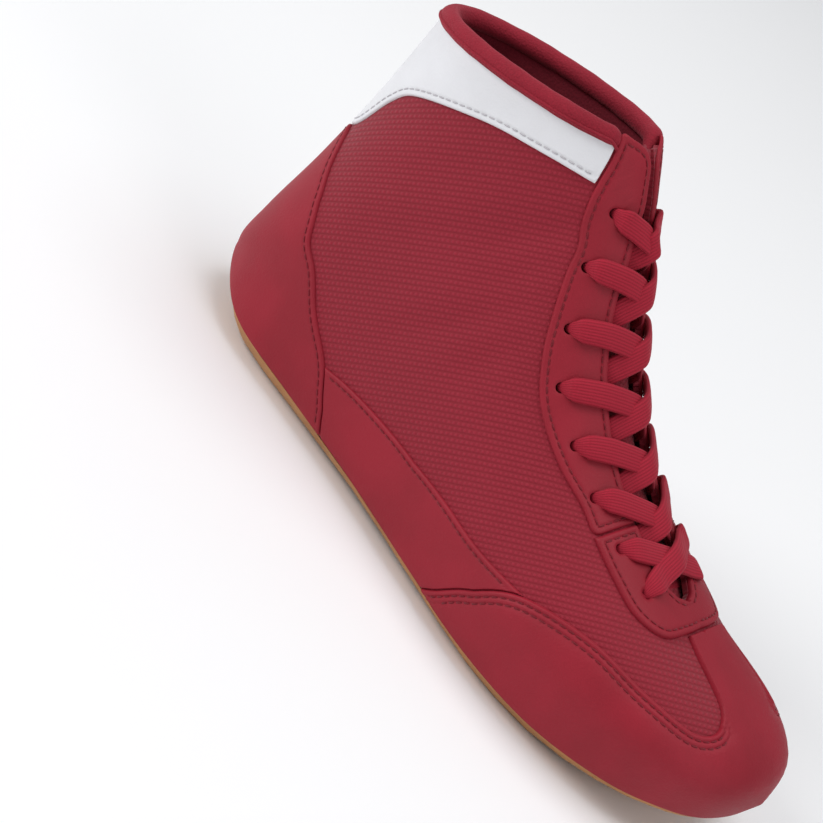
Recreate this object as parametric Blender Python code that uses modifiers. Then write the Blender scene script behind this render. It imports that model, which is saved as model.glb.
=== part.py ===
"""Right high-top sports shoe with a thin gum sole: a lasted upper, its overlays, tongue, lace and sole.

Sizes are millimetres until the meshes are made. X runs from heel to toe, Y to the inner side of the
foot and Z up. A point of the upper is named by t, the section it lies on (0 at the toe tip), by w, its
height on that section (0 at the feather line or the back seam, 1 on the ridge) and by its side.
"""

import math

import bmesh
import bpy
import numpy as np
from mathutils.geometry import delaunay_2d_cdt

MM = 0.001

# Last
LENGTH = 283.0
BALL_WIDTH = 97.5
INSTEP_HEIGHT = 93.0
HEEL_HEIGHT = 141.0

# Upper, overlays and tongue
WALL = 2.0
FIT_GAP = 0.55
OVERLAY = 1.2
FEATHER_RISE = 1.4
MAX_SAG = 0.36
INNER_SPACING = 3.5
EDGE_SPACING = 0.6
EDGE_INSET = 0.004
SEAM_GAP = 0.015
TONGUE_DEPTH = 0.8
TONGUE_THICK = 2.6
TONGUE_TOE_T = 4.0

# Collar roll
ROLL_RADIUS = 3.6
ROLL_SEAT = 4.1
ROLL_END_W = 0.785
ROLL_BEND_T = 12.7
FRONT_CORNER_W = 0.86

# Lace and its punched holes
HOLE_RADIUS = 2.0
LACE_WIDTH = 7.5
LACE_THICK = 1.4
LACE_GAP = 0.25
LACE_LIFT = 0.4
LACE_STEPS = 7
HOLE_SIDES = 6

# Sole and insole
SOLE_GAP = 0.3
SOLE_LIP = 0.3
INSOLE_THICK = 3.0
INSOLE_CLEAR = 2.6
INSOLE_LIFT = 0.05
PAD_RADIUS = 14.5
PAD_DEPTH = 1.9
PAD_SIDES = 20
HEEL_CLEAR_T = 0.3
HEEL_CLEAR_W = 0.055

LATERAL = -1
MEDIAL = 1

SECTION_COLUMNS = (
    "top_x", "top_z", "base_x", "base_z", "middle", "lateral", "medial",
    "lateral_base", "medial_base", "widest", "crown", "sole", "splits",
)
SECTION_UNITS = (
    LENGTH, INSTEP_HEIGHT, LENGTH, HEEL_HEIGHT, BALL_WIDTH, BALL_WIDTH, BALL_WIDTH,
    BALL_WIDTH, BALL_WIDTH, 1, 1, 1, 1,
)
SECTIONS = {
    "toe_tip": (1.000, 0.312, 0.989, 0.142, 0.041, 0.000, 0.000, 0.000, 0.000, 0.45, 2.0, 3.2, 3),
    "toe_front": (0.989, 0.409, 0.972, 0.128, 0.036, 0.210, 0.205, 0.190, 0.185, 0.45, 2.2, 3.4, 3),
    "toe_round": (0.961, 0.473, 0.933, 0.106, 0.031, 0.338, 0.328, 0.313, 0.303, 0.42, 2.3, 3.8, 2),
    "toe_box": (0.905, 0.527, 0.869, 0.078, 0.015, 0.441, 0.421, 0.410, 0.390, 0.40, 2.4, 4.6, 2),
    "vamp": (0.813, 0.591, 0.770, 0.050, 0.000, 0.508, 0.472, 0.472, 0.436, 0.36, 2.3, 6.7, 2),
    "ball": (0.721, 0.677, 0.657, 0.041, 0.000, 0.523, 0.477, 0.487, 0.441, 0.32, 2.2, 6.1, 2),
    "waist": (0.633, 0.806, 0.530, 0.044, 0.000, 0.487, 0.421, 0.441, 0.369, 0.30, 2.0, 4.3, 2),
    "instep": (0.548, 1.000, 0.389, 0.050, 0.000, 0.431, 0.385, 0.379, 0.328, 0.32, 2.0, 4.6, 2),
    "ankle": (0.481, 1.215, 0.233, 0.053, 0.000, 0.385, 0.374, 0.338, 0.318, 0.38, 2.1, 7.6, 2),
    "heel_side": (0.445, 1.355, 0.120, 0.060, 0.000, 0.364, 0.359, 0.308, 0.303, 0.40, 2.2, 8.6, 3),
    "heel_round": (0.424, 1.441, 0.052, 0.089, 0.000, 0.349, 0.349, 0.195, 0.190, 0.40, 2.2, 5.5, 3),
    "heel_back": (0.406, 1.505, 0.003, 0.125, 0.000, 0.338, 0.338, 0.000, 0.000, 0.40, 2.2, 3.5, 3),
    "heel_cup": (0.392, 1.570, 0.004, 0.262, 0.000, 0.328, 0.328, 0.000, 0.000, 0.42, 2.2, 3.5, 2),
    "achilles": (0.378, 1.624, 0.018, 0.482, 0.000, 0.308, 0.308, 0.000, 0.000, 0.46, 2.2, 3.5, 3),
    "shaft": (0.364, 1.677, 0.028, 0.738, 0.000, 0.292, 0.287, 0.000, 0.000, 0.50, 2.2, 3.5, 3),
    "collar": (0.350, 1.720, 0.032, 1.000, 0.000, 0.287, 0.277, 0.000, 0.000, 0.50, 2.2, 3.5, 0),
}
NAMES = list(SECTIONS)
LAST_T = len(NAMES) - 1
BACK_T = NAMES.index("heel_back")
TABLE = {
    name: np.array([row[k] for row in SECTIONS.values()]) * SECTION_UNITS[k]
    for k, name in enumerate(SECTION_COLUMNS)
}
WIDTH_COLUMNS = ("lateral", "medial", "lateral_base", "medial_base")
WIDEST_W = 0.4
TURN_W = 0.16
COLUMN_SHARES = (0, 0.055, 0.135, 0.23, 0.34, 0.46, 0.59, 0.72, 0.84, 0.93, 1)

# Half the throat's opening, and how far the tongue laps under its edge
THROAT_COLUMNS = ("t", "half_gap", "lap")
THROAT = (
    (4.50, 0.0, 19.0), (4.58, 5.0, 14.0), (4.78, 9.0, 12.0), (5.30, 11.0, 14.0), (6.60, 13.0, 14.0),
    (7.40, 12.5, 14.0), (8.10, 11.0, 14.0), (9.40, 8.0, 13.0), (11.50, 5.0, 11.0), (15.00, 4.0, 8.0),
)
THROAT_T = THROAT[0][0]

# Punched holes from the top pair down, as t and w
HOLES = (
    (11.54, 0.860), (9.40, 0.800), (8.08, 0.765), (7.36, 0.745),
    (6.68, 0.768), (6.06, 0.797), (5.38, 0.830), (4.75, 0.858),
)

# Edges of the overlays, as t and w
TOE_EDGE = (
    (5.80, 0.095), (5.73, 0.198), (5.59, 0.375), (5.28, 0.512), (4.45, 0.625), (3.62, 0.665),
    (2.98, 0.708), (2.78, 0.780), (2.89, 0.855), (3.23, 0.910), (4.07, 0.945),
)
SPINE_SHIFT = 0.08
PANEL_TOP = ((8.08, 0.285), (7.60, 0.330), (7.09, 0.390), (6.53, 0.436), (5.93, 0.468), (5.40, 0.490))
COUNTER_EDGE = (
    (7.50, 0.085), (7.60, 0.142), (7.78, 0.200), (8.19, 0.263), (8.82, 0.297), (9.90, 0.328),
    (11.14, 0.334), (12.07, 0.287), (12.70, 0.223), (13.38, 0.118), (13.43, 0.000),
)
BAND_EDGE = (
    (13.46, 0.000), (13.50, 0.130), (13.88, 0.188), (14.06, 0.235), (14.10, 0.350),
    (14.00, 0.468), (13.70, 0.595), (13.34, 0.690), (12.92, 0.768),
)
STAY_EDGE = (
    (14.98, 0.810), (13.93, 0.784), (12.72, 0.776), (10.57, 0.780), (9.34, 0.753), (8.40, 0.725),
    (7.83, 0.703), (7.32, 0.693), (6.87, 0.703), (6.46, 0.723), (6.02, 0.755), (5.63, 0.765),
)
LACE_BASE_EDGE = ((5.61, 0.765), (5.01, 0.777), (4.53, 0.792), (4.17, 0.850), (4.10, 0.945), (4.10, 1.0))

# Grip pads in the sole, as shares of the length and of the ball width
PADS = {"toe": (0.868, 0.10), "ball": (0.685, 0.20), "side": (0.625, -0.22)}

COLOURS = {
    "gum_rubber": (0.45, 0.20, 0.055), "red_rubber": (0.36, 0.022, 0.035), "foam": (0.09, 0.012, 0.018),
    "red_fabric": (0.24, 0.010, 0.022), "red_smooth": (0.30, 0.014, 0.028),
    "white_smooth": (0.80, 0.80, 0.82), "red_binding": (0.30, 0.014, 0.030),
    "red_lace": (0.36, 0.016, 0.036),
}


def lane(values, t, before=None, after=None):
    """Smooth curve through a column's values, carried straight on at an end with no value beyond it."""
    before = 2 * values[0] - values[1] if before is None else before
    after = 2 * values[-1] - values[-2] if after is None else after
    padded = np.concatenate([[before], values, [after]])
    i = np.clip(np.floor(t), 0, len(values) - 2).astype(int)
    u = t - i
    a, b, c, d = (padded[i + k] for k in range(4))
    return 0.5 * (2 * b + (c - a) * u + (2 * a - 5 * b + 4 * c - d) * u**2 + (3 * b - a - 3 * c + d) * u**3)


def column(name, t):
    """One section value at t, mirrored at the toe tip."""
    values = TABLE[name]
    sign = -1 if name in WIDTH_COLUMNS else 1
    return lane(values, np.asarray(t, float), sign * values[1])


def base_column(name, t, w=0.0):
    """A value of the base line, which turns round the heel at the feather line and runs up the back."""
    t = np.asarray(t, float)
    values = TABLE[name]
    front = values[: BACK_T + 1]
    held = np.minimum(t, BACK_T)
    if name in WIDTH_COLUMNS:
        turning = lane(front, held, -front[1], -front[-2])
        running = lane(front, held, -front[1], front[-2])
    else:
        turning = lane(front, held, front[1], front[-2])
        running = lane(values, t, values[1])
    share = np.where(t > BACK_T, 1, np.clip(w / TURN_W, 0, 1))
    return turning + (running - turning) * share**2 * (3 - 2 * share)


def half_width(t, side):
    """Half width of the section at its widest."""
    return np.where(side < 0, column("lateral", t), column("medial", t))


def foot_width(t, side, w=0.0):
    """Half width of the section's foot."""
    return np.where(side < 0, base_column("lateral_base", t, w), base_column("medial_base", t, w))


def last_point(t, w, side):
    """Point of the upper's outside. Past the toe, ridge or back seam it goes on along the other side."""
    t, w, side = np.broadcast_arrays(*(np.asarray(v, float) for v in (t, w, side)))
    across = (t < 0) ^ (w > 1) ^ ((w < 0) & (t > BACK_T))
    side = np.where(across, -side, side)
    t = np.abs(t)
    w = np.where(w > 1, 2 - w, np.where((w < 0) & (t > BACK_T), -w, np.maximum(w, 0)))
    wide = np.maximum(half_width(t, side), 0)
    foot = np.clip(foot_width(t, side, w), 0, wide)
    widest = column("widest", t)
    power = 2 / column("crown", t)
    low = np.clip(w / WIDEST_W, 0, 1) * math.pi / 2
    high = np.clip((w - WIDEST_W) / (1 - WIDEST_W), 0, 1) * math.pi / 2
    below = w <= WIDEST_W
    up = np.where(below, widest * (1 - np.cos(low)), widest + (1 - widest) * np.sin(high) ** power)
    out = np.where(below, foot + (wide - foot) * np.sin(low), wide * np.clip(np.cos(high), 0, 1) ** power)
    base_x = base_column("base_x", t, w)
    base_z = base_column("base_z", t, w)
    x = base_x + (column("top_x", t) - base_x) * up
    z = base_z + (column("top_z", t) - base_z) * up
    return np.stack([x, column("middle", t) + side * out, z], -1)


def last_normal(t, w, side, step=0.03):
    """Outward normal of the upper. The top of the toe tip is read a little behind it."""
    t = np.where(w > 1 - step, np.maximum(t, 2 * step), t)
    along = last_point(t + step, w, side) - last_point(t - step, w, side)
    across = last_point(t, w + step, side) - last_point(t, w - step, side)
    normal = np.cross(along, across) * np.asarray(side, float)[..., None]
    return normal / np.linalg.norm(normal, axis=-1, keepdims=True)


def skin(t, w, side, height):
    """Point this far outside the upper."""
    t, w, side = np.broadcast_arrays(*(np.asarray(v, float) for v in (t, w, side)))
    return last_point(t, w, side) + last_normal(t, w, side) * height


def w_at_width(t, half, side):
    """Height on the section at which its upper part is this wide."""
    share = np.clip(half / np.maximum(half_width(t, side), 1e-6), 0, 1)
    angle = np.arccos(share ** (column("crown", t) / 2))
    return WIDEST_W + (1 - WIDEST_W) * angle / (math.pi / 2)


def throat(name, t):
    k = THROAT_COLUMNS.index(name)
    return np.interp(t, [row[0] for row in THROAT], [row[k] for row in THROAT])


def edge_w(t, side):
    """Top of the upper on a section: the ridge, or the throat's edge behind the vamp."""
    return w_at_width(t, throat("half_gap", t), side)


def feather_w(t):
    """Height on the section at which the overlays stop, a little above the sole."""
    run = column("top_x", t) - base_column("base_x", t)
    rise = column("top_z", t) - base_column("base_z", t)
    tall = np.hypot(run, rise)
    return WIDEST_W * np.arccos(1 - FEATHER_RISE / (column("widest", t) * tall)) / (math.pi / 2)


def rim_t(w, side):
    """Where the upper stops under the collar roll. Its front corners rise behind the roll's ends."""
    step = last_point(LAST_T, w, side) - last_point(LAST_T - 0.05, w, side)
    seat = LAST_T - ROLL_SEAT * 0.05 / np.linalg.norm(step, axis=-1)
    rise = np.clip((w - ROLL_END_W - 0.005) / (FRONT_CORNER_W - ROLL_END_W), 0, 1)
    return seat + (LAST_T - 0.02 - seat) * rise**2 * (3 - 2 * rise)


def mesh_rows():
    rows = [i + k / n for i, n in enumerate(TABLE["splits"].astype(int)) for k in range(n)]
    return np.unique(np.round(rows + [LAST_T] + [row[0] for row in THROAT[:3]], 4))


def upper_chart(side):
    """t and w of the upper's grid on one side."""
    rows = mesh_rows()
    w = np.array(COLUMN_SHARES)[None, :] * edge_w(rows, side)[:, None]
    stretch = np.clip((rows[:, None] - ROLL_BEND_T) / (LAST_T - ROLL_BEND_T), 0, 1)
    t = np.minimum(rows[:, None], ROLL_BEND_T) + stretch * (rim_t(w, side) - ROLL_BEND_T)
    return t, w


def new_material(name):
    material = bpy.data.materials.new(name)
    material.use_nodes = True
    shader = material.node_tree.nodes["Principled BSDF"]
    shader.inputs["Base Color"].default_value = (*COLOURS[name], 1)
    shader.inputs["Roughness"].default_value = 0.6
    return material


def add_object(name, points, faces, slot, collection=None):
    """Mesh object from points in millimetres, with coincident points joined."""
    mesh = bpy.data.meshes.new(name)
    mesh.from_pydata([tuple(p * MM) for p in np.asarray(points, float)], [], faces)
    work = bmesh.new()
    work.from_mesh(mesh)
    bmesh.ops.remove_doubles(work, verts=work.verts, dist=1e-6)
    work.to_mesh(mesh)
    work.free()
    obj = bpy.data.objects.new(name, mesh)
    (collection or parts).objects.link(obj)
    if slot:
        mesh.materials.append(materials[slot])
    else:
        obj.hide_render = True
        obj.display_type = "WIRE"
    return obj


def thicken(obj, thickness):
    shell = obj.modifiers.new("wall", "SOLIDIFY")
    shell.thickness = thickness * MM
    shell.offset = -1
    return obj


def boolean(obj, cutter, operation):
    cut = obj.modifiers.new(cutter.name, "BOOLEAN")
    cut.operation = operation
    cut.solver = "EXACT"
    cut.object = cutter


def grid_faces(rows, columns, first, flip):
    faces = []
    for i in range(rows - 1):
        for j in range(columns - 1):
            a = first + i * columns + j
            quad = (a, a + columns, a + columns + 1, a + 1)
            faces.append(quad[::-1] if flip else quad)
    return faces


def grid_sheet(name, charts, height, thickness, slot):
    """Sheet over the upper's grid on both sides, thickened inwards."""
    points = []
    faces = []
    for side in (LATERAL, MEDIAL):
        t, w = charts[side]
        faces += grid_faces(*t.shape, len(points), side < 0)
        points += list(skin(t, w, side, height).reshape(-1, 3))
    return thicken(add_object(name, points, faces, slot), thickness)


def smooth(edge, per=2):
    """Edge table sampled along a smooth curve."""
    edge = np.array(edge, float)
    k = np.linspace(0, len(edge) - 1, (len(edge) - 1) * per + 1)
    return np.stack([lane(edge[:, c], k) for c in range(2)], -1)


def along_w(w, start, end):
    """Run of the mesh rows between two values of t at one height."""
    low, high = sorted((start, end))
    rows = mesh_rows()
    rows = rows[(rows > low + 0.04) & (rows < high - 0.04)]
    run = np.concatenate([[low], rows, [high]])
    run = run if start < end else run[::-1]
    return np.stack([run, np.full(run.shape, w)], -1)


def feather_run(start, end):
    run = along_w(0, start, end)
    run[:, 1] = feather_w(run[:, 0])
    return run


def throat_run(start, end, side):
    run = along_w(0, start, end)
    run[:, 1] = edge_w(run[:, 0], side) - EDGE_INSET
    return run


def across_t(t, start, end, count):
    return np.stack([np.full(count, t), np.linspace(start, end, count)], -1)


def inside_distance(points, outline):
    """Signed distance of chart points to a closed outline, positive inside."""
    a = outline
    b = np.roll(outline, -1, axis=0)
    run = b - a
    k = ((points[:, None] - a) * run).sum(-1) / np.maximum((run**2).sum(-1), 1e-12)
    near = a + np.clip(k, 0, 1)[..., None] * run
    distance = np.linalg.norm(points[:, None] - near, axis=-1).min(1)
    px, py = points[:, :1], points[:, 1:]
    crosses = (a[:, 1] > py) != (b[:, 1] > py)
    slope = np.where(np.abs(run[:, 1]) < 1e-12, 1e-12, run[:, 1])
    hit = a[:, 0] + (py - a[:, 1]) / slope * run[:, 0]
    odd = (crosses & (px < hit)).sum(1) % 2 == 1
    return np.where(odd, distance, -distance)


def chart_faces(outline, inner, size):
    """Triangles inside an outline in the chart, through the given inner points."""
    spots = [tuple(p) for p in np.concatenate([outline, inner]) * size]
    found = delaunay_2d_cdt(spots, [], [list(range(len(outline)))], 1, 1e-5)
    return np.array([tuple(v) for v in found[0]]) / size, found[2]


def sag_of(starts, ends, side):
    """How far the middle of each straight chart edge lies from the curved surface."""
    halfway = (starts + ends) / 2
    a, b, c = (skin(v[:, 0], v[:, 1], side, FIT_GAP) for v in (starts, ends, halfway))
    return np.linalg.norm(c - (a + b) / 2, axis=1), halfway


def split_long(outline, side):
    """Outline with a point added in each edge that would cut into the upper."""
    sag, halfway = sag_of(outline, np.roll(outline, -1, axis=0), side)
    added = np.where(sag > MAX_SAG * 0.7)[0]
    return np.insert(outline, added + 1, halfway[added], axis=0)


def overlay(name, outlines, slot):
    """Panel over the upper inside an outline on each given side, cut between two larger lasts."""
    size = np.array([24.0, 100.0])
    points = []
    faces = []
    for side, runs in outlines.items():
        outline = np.concatenate(runs)
        outline = outline[np.linalg.norm((outline - np.roll(outline, 1, axis=0)) * size, axis=1) > 0.3]
        x, y = outline.T
        if (x * np.roll(y, -1) - y * np.roll(x, -1)).sum() < 0:
            outline = outline[::-1]
        for _ in range(3):
            outline = split_long(outline, side)
        inner = np.zeros((0, 2))
        for spacing in np.linspace(INNER_SPACING * 3, INNER_SPACING, 11):
            chart, found = chart_faces(outline, inner, size)
            edges = np.unique(np.sort([(f[k - 1], f[k]) for f in found for k in range(3)], axis=1), axis=0)
            sag, halfway = sag_of(chart[edges[:, 0]], chart[edges[:, 1]], side)
            sag[inside_distance(halfway * size, outline * size) < EDGE_SPACING] = 0
            for k in np.argsort(-sag):
                apart = np.linalg.norm((inner - halfway[k]) * size, axis=1)
                if sag[k] > MAX_SAG and (apart > spacing).all():
                    inner = np.concatenate([inner, halfway[k : k + 1]])
        chart, found = chart_faces(outline, inner, size)
        faces += [tuple(len(points) + i for i in (f if side > 0 else f[::-1])) for f in found]
        points += list(skin(chart[:, 0], chart[:, 1], side, FIT_GAP + OVERLAY))
    return thicken(add_object(name, points, faces, slot), OVERLAY)


def shifted(edge, dt, dw=0.0):
    return np.array(edge, float) + (dt, dw)


def add_overlays():
    toe_edge = smooth(TOE_EDGE)
    counter_edge = smooth(COUNTER_EDGE)
    toe = {}
    for side, shift in ((LATERAL, 0), (MEDIAL, SPINE_SHIFT)):
        edge = toe_edge.copy()
        edge[:, 1] -= shift * np.clip((np.arange(len(edge)) - 14) / 4, 0, 1)
        toe[side] = [
            feather_run(0, TOE_EDGE[0][0]), edge, across_t(TOE_EDGE[-1][0], edge[-1, 1] + 0.015, 1, 3),
            along_w(1, TOE_EDGE[-1][0], 0), across_t(0, 1, feather_w(0), 7),
        ]
    overlay("toe_overlay", toe, "red_smooth")
    counter = [
        feather_run(COUNTER_EDGE[0][0], BACK_T - HEEL_CLEAR_T), across_t(BACK_T, HEEL_CLEAR_W, 0, 1),
        along_w(0, BACK_T + HEEL_CLEAR_T, COUNTER_EDGE[-1][0]), counter_edge[::-1],
    ]
    overlay("heel_counter", {LATERAL: counter, MEDIAL: counter}, "red_smooth")
    panel = [
        feather_run(TOE_EDGE[0][0] + SEAM_GAP, COUNTER_EDGE[0][0] - SEAM_GAP),
        shifted(counter_edge[:7], -SEAM_GAP), smooth(PANEL_TOP), shifted(toe_edge[:7], SEAM_GAP)[::-1],
    ]
    overlay("side_panel_lateral", {LATERAL: panel}, "red_smooth")
    overlay("side_panel_medial", {MEDIAL: panel}, "red_smooth")
    for name, side in (("lateral", LATERAL), ("medial", MEDIAL)):
        top, end = STAY_EDGE[0], STAY_EDGE[-1]
        stay = [
            smooth(STAY_EDGE), across_t(end[0], end[1], edge_w(end[0], side) - EDGE_INSET, 5),
            throat_run(end[0], top[0], side),
            across_t(top[0], edge_w(top[0], side) - EDGE_INSET, top[1], 4),
        ]
        overlay("eyestay_" + name, {side: stay}, "red_smooth")
    end = LACE_BASE_EDGE[0]
    base = {
        side: [
            smooth(LACE_BASE_EDGE), along_w(1, LACE_BASE_EDGE[-1][0], THROAT_T),
            throat_run(THROAT_T + 0.08, end[0], side),
            across_t(end[0], edge_w(end[0], side) - EDGE_INSET, end[1], 5),
        ]
        for side in (LATERAL, MEDIAL)
    }
    overlay("lace_base", base, "red_smooth")
    band = {}
    for side in (LATERAL, MEDIAL):
        rim_w = np.linspace(0, ROLL_END_W, 14)
        rim = np.stack([rim_t(rim_w, side) - EDGE_INSET, rim_w], -1)
        front = smooth(shifted(STAY_EDGE[:3], 0, -0.008))
        front = front[(front[:, 0] < rim[-1, 0] - 0.1) & (front[:, 0] > BAND_EDGE[-1][0] + 0.1)]
        seam = along_w(0, BAND_EDGE[0][0], rim[0, 0])
        band[side] = [seam, rim, front, smooth(BAND_EDGE)[::-1]]
    overlay("collar_band", band, "white_smooth")


def add_upper():
    charts = {side: upper_chart(side) for side in (LATERAL, MEDIAL)}
    upper = grid_sheet("upper", charts, 0, WALL, "red_fabric")
    rows = np.linspace(TONGUE_TOE_T, LAST_T, 18)
    under = {}
    for side in (LATERAL, MEDIAL):
        low = w_at_width(rows, throat("half_gap", rows) + throat("lap", rows), side)
        share = np.linspace(0, 1, 5)
        under[side] = (np.repeat(rows[:, None], 5, 1), low[:, None] + (1 - low[:, None]) * share)
    grid_sheet("tongue", under, -WALL - TONGUE_DEPTH, TONGUE_THICK, "red_fabric")
    return upper


def add_binding():
    """Padded roll on the rim, from one eyestay round the back to the other."""
    w = np.linspace(ROLL_END_W, 0, 13)
    outer = skin(LAST_T, w, LATERAL, -WALL / 2)
    inner = skin(LAST_T, w[::-1][1:], MEDIAL, -WALL / 2)
    path = bpy.data.curves.new("collar_binding", "CURVE")
    path.dimensions = "3D"
    path.bevel_depth = ROLL_RADIUS * MM
    path.bevel_resolution = 2
    path.use_fill_caps = True
    line = path.splines.new("POLY")
    rim = np.concatenate([outer, inner])
    line.points.add(len(rim) - 1)
    for point, place in zip(line.points, rim):
        point.co = (*(place * MM), 1)
    obj = bpy.data.objects.new("collar_binding", path)
    parts.objects.link(obj)
    path.materials.append(materials["red_binding"])


def tube_faces(start, count):
    """Walls and two caps of a cylinder whose two rings of points follow each other."""
    ring = [(start + k, start + (k + 1) % count) for k in range(count)]
    walls = [(a, b, b + count, a + count) for a, b in ring]
    caps = [tuple(range(start, start + count))[::-1], tuple(range(start + count, start + 2 * count))]
    return walls + caps


def add_holes(upper):
    """Punched holes through the facings and the upper."""
    points = []
    faces = []
    count = HOLE_SIDES
    for t, w in HOLES:
        for side in (LATERAL, MEDIAL):
            centre = last_point(t, w, side)
            axis = last_normal(np.array(t), np.array(w), np.array(side))
            first = np.cross(axis, (1, 0, 0))
            first /= np.linalg.norm(first)
            second = np.cross(axis, first)
            start = len(points)
            for height in (-WALL * 2, OVERLAY * 3):
                for k in range(count):
                    a = 2 * math.pi * k / count
                    spoke = first * math.cos(a) + second * math.sin(a)
                    points.append(centre + axis * height + spoke * HOLE_RADIUS)
            faces += tube_faces(start, count)
    cutter = add_object("hole_cutter", points, faces, None, cutters)
    for name in ("eyestay_lateral", "eyestay_medial", "lace_base"):
        boolean(bpy.data.objects[name], cutter, "DIFFERENCE")
    boolean(upper, cutter, "DIFFERENCE")


def lace_bands(start_side, lift):
    """The seven bands that leave the holes of one side and cross to the next level down on the other."""
    count = LACE_STEPS
    share = np.linspace(0, 1, count)
    points = []
    faces = []
    for level in range(len(HOLES) - 1):
        (t0, w0), (t1, w1) = HOLES[level], HOLES[level + 1]
        lowest = level == len(HOLES) - 2
        reach = w1 if lowest else edge_w(t1, -start_side) - 0.02
        t = t0 + (t1 - t0) * share
        swing = -(1 - w0) + (2 - w0 - reach) * share
        side = np.where(swing < 0, start_side, -start_side)
        height = FIT_GAP * 2 + OVERLAY + LACE_GAP + lift + LACE_THICK
        centre = skin(t, 1 - np.abs(swing), side, height)
        normal = last_normal(t, 1 - np.abs(swing), side)
        across = np.cross(normal, np.gradient(centre, axis=0))
        across *= LACE_WIDTH / 2 / np.linalg.norm(across, axis=1, keepdims=True)
        start = len(points)
        points += [p for pair in zip(centre - across, centre + across) for p in pair]
        faces += grid_faces(count, 2, start, False)
    return points, faces


def add_lace():
    over = thicken(add_object("lace_over", *lace_bands(MEDIAL, LACE_LIFT), None, cutters), LACE_THICK)
    lace = thicken(add_object("lace", *lace_bands(LATERAL, 0), "red_lace"), LACE_THICK)
    boolean(lace, over, "UNION")


def base_line():
    """The feather line's run in side view: t, arc length, x and z."""
    t = np.linspace(0, BACK_T, 221)
    x, z = base_column("base_x", t), base_column("base_z", t)
    run = np.concatenate([[0], np.cumsum(np.hypot(np.diff(x), np.diff(z)))])
    return t, run, x, z


def base_place(run):
    """Point and downward normal of the feather line's run, carried straight on past its ends."""
    _, known, x, z = base_line()
    step = 1.5
    inner = np.clip(run, step, known[-1] - step)
    tx = np.interp(inner + step, known, x) - np.interp(inner - step, known, x)
    tz = np.interp(inner + step, known, z) - np.interp(inner - step, known, z)
    size = np.hypot(tx, tz)
    tx, tz = tx / size, tz / size
    past = run - np.clip(run, 0, known[-1])
    held = np.clip(run, 0, known[-1])
    return np.interp(held, known, x) + past * tx, np.interp(held, known, z) + past * tz, -tz, tx


def outline_at(t, side, margin):
    """Run and half width of the sole's outline, moved out from the feather line by a margin."""
    known_t, known_run, _, _ = base_line()
    step = 0.04

    def run_at(v):
        run = np.interp(np.clip(v, 0, BACK_T), known_t, known_run)
        return np.where(v < 0, 2 * known_run[0] - np.interp(-v, known_t, known_run), np.where(
            v > BACK_T, 2 * known_run[-1] - np.interp(2 * BACK_T - v, known_t, known_run), run))

    def half_at(v):
        inside = foot_width(np.clip(v, 0, BACK_T), side)
        before = -foot_width(np.abs(v), side)
        after = -foot_width(np.clip(2 * BACK_T - v, 0, BACK_T), side)
        return np.where(v < 0, before, np.where(v > BACK_T, after, inside))

    d_run = np.abs(run_at(t + step) - run_at(t - step))
    mirrored = (t < step) | (t > BACK_T - step)
    d_run = np.where(mirrored, 0, d_run)
    d_half = half_at(t + step) - half_at(t - step)
    size = np.hypot(d_run, d_half)
    return run_at(t) - margin * d_half / size, half_at(t) + margin * d_run / size


def sole_rows():
    rows = mesh_rows()
    rows = rows[(rows > 0.05) & (rows < BACK_T - 0.05)]
    return np.concatenate([[0.06], rows, [BACK_T - 0.06]])


def loft(sections):
    """Closed solid through sections with the same number of points."""
    count = len(sections[0])
    points = [p for section in sections for p in section]
    faces = [tuple(range(count))]
    for i in range(len(sections) - 1):
        for j in range(count):
            a, b = i * count + j, i * count + (j + 1) % count
            faces.append((b, a, a + count, b + count))
    faces.append(tuple(range(len(points) - count, len(points)))[::-1])
    return points, faces


def sole_sections(margin, top, thickness, rounding):
    """Sections of a sheet under the feather line: its top, its thickness and the shape of its edge."""
    sections = []
    for t in sole_rows():
        deep = thickness(t)
        middle = float(column("middle", t))
        section = []
        for side in (LATERAL, MEDIAL):
            edge = []
            for inset, depth in rounding:
                run, half = outline_at(np.array(t), side, margin - inset * deep)
                x, z, nx, nz = base_place(run)
                drop = top + depth * deep
                y = middle + side * float(half)
                edge.append((float(x + nx * drop), y, max(float(z + nz * drop), 0.0)))
            section += edge if side == LATERAL else edge[::-1]
        sections.append(section)
    return sections


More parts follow.
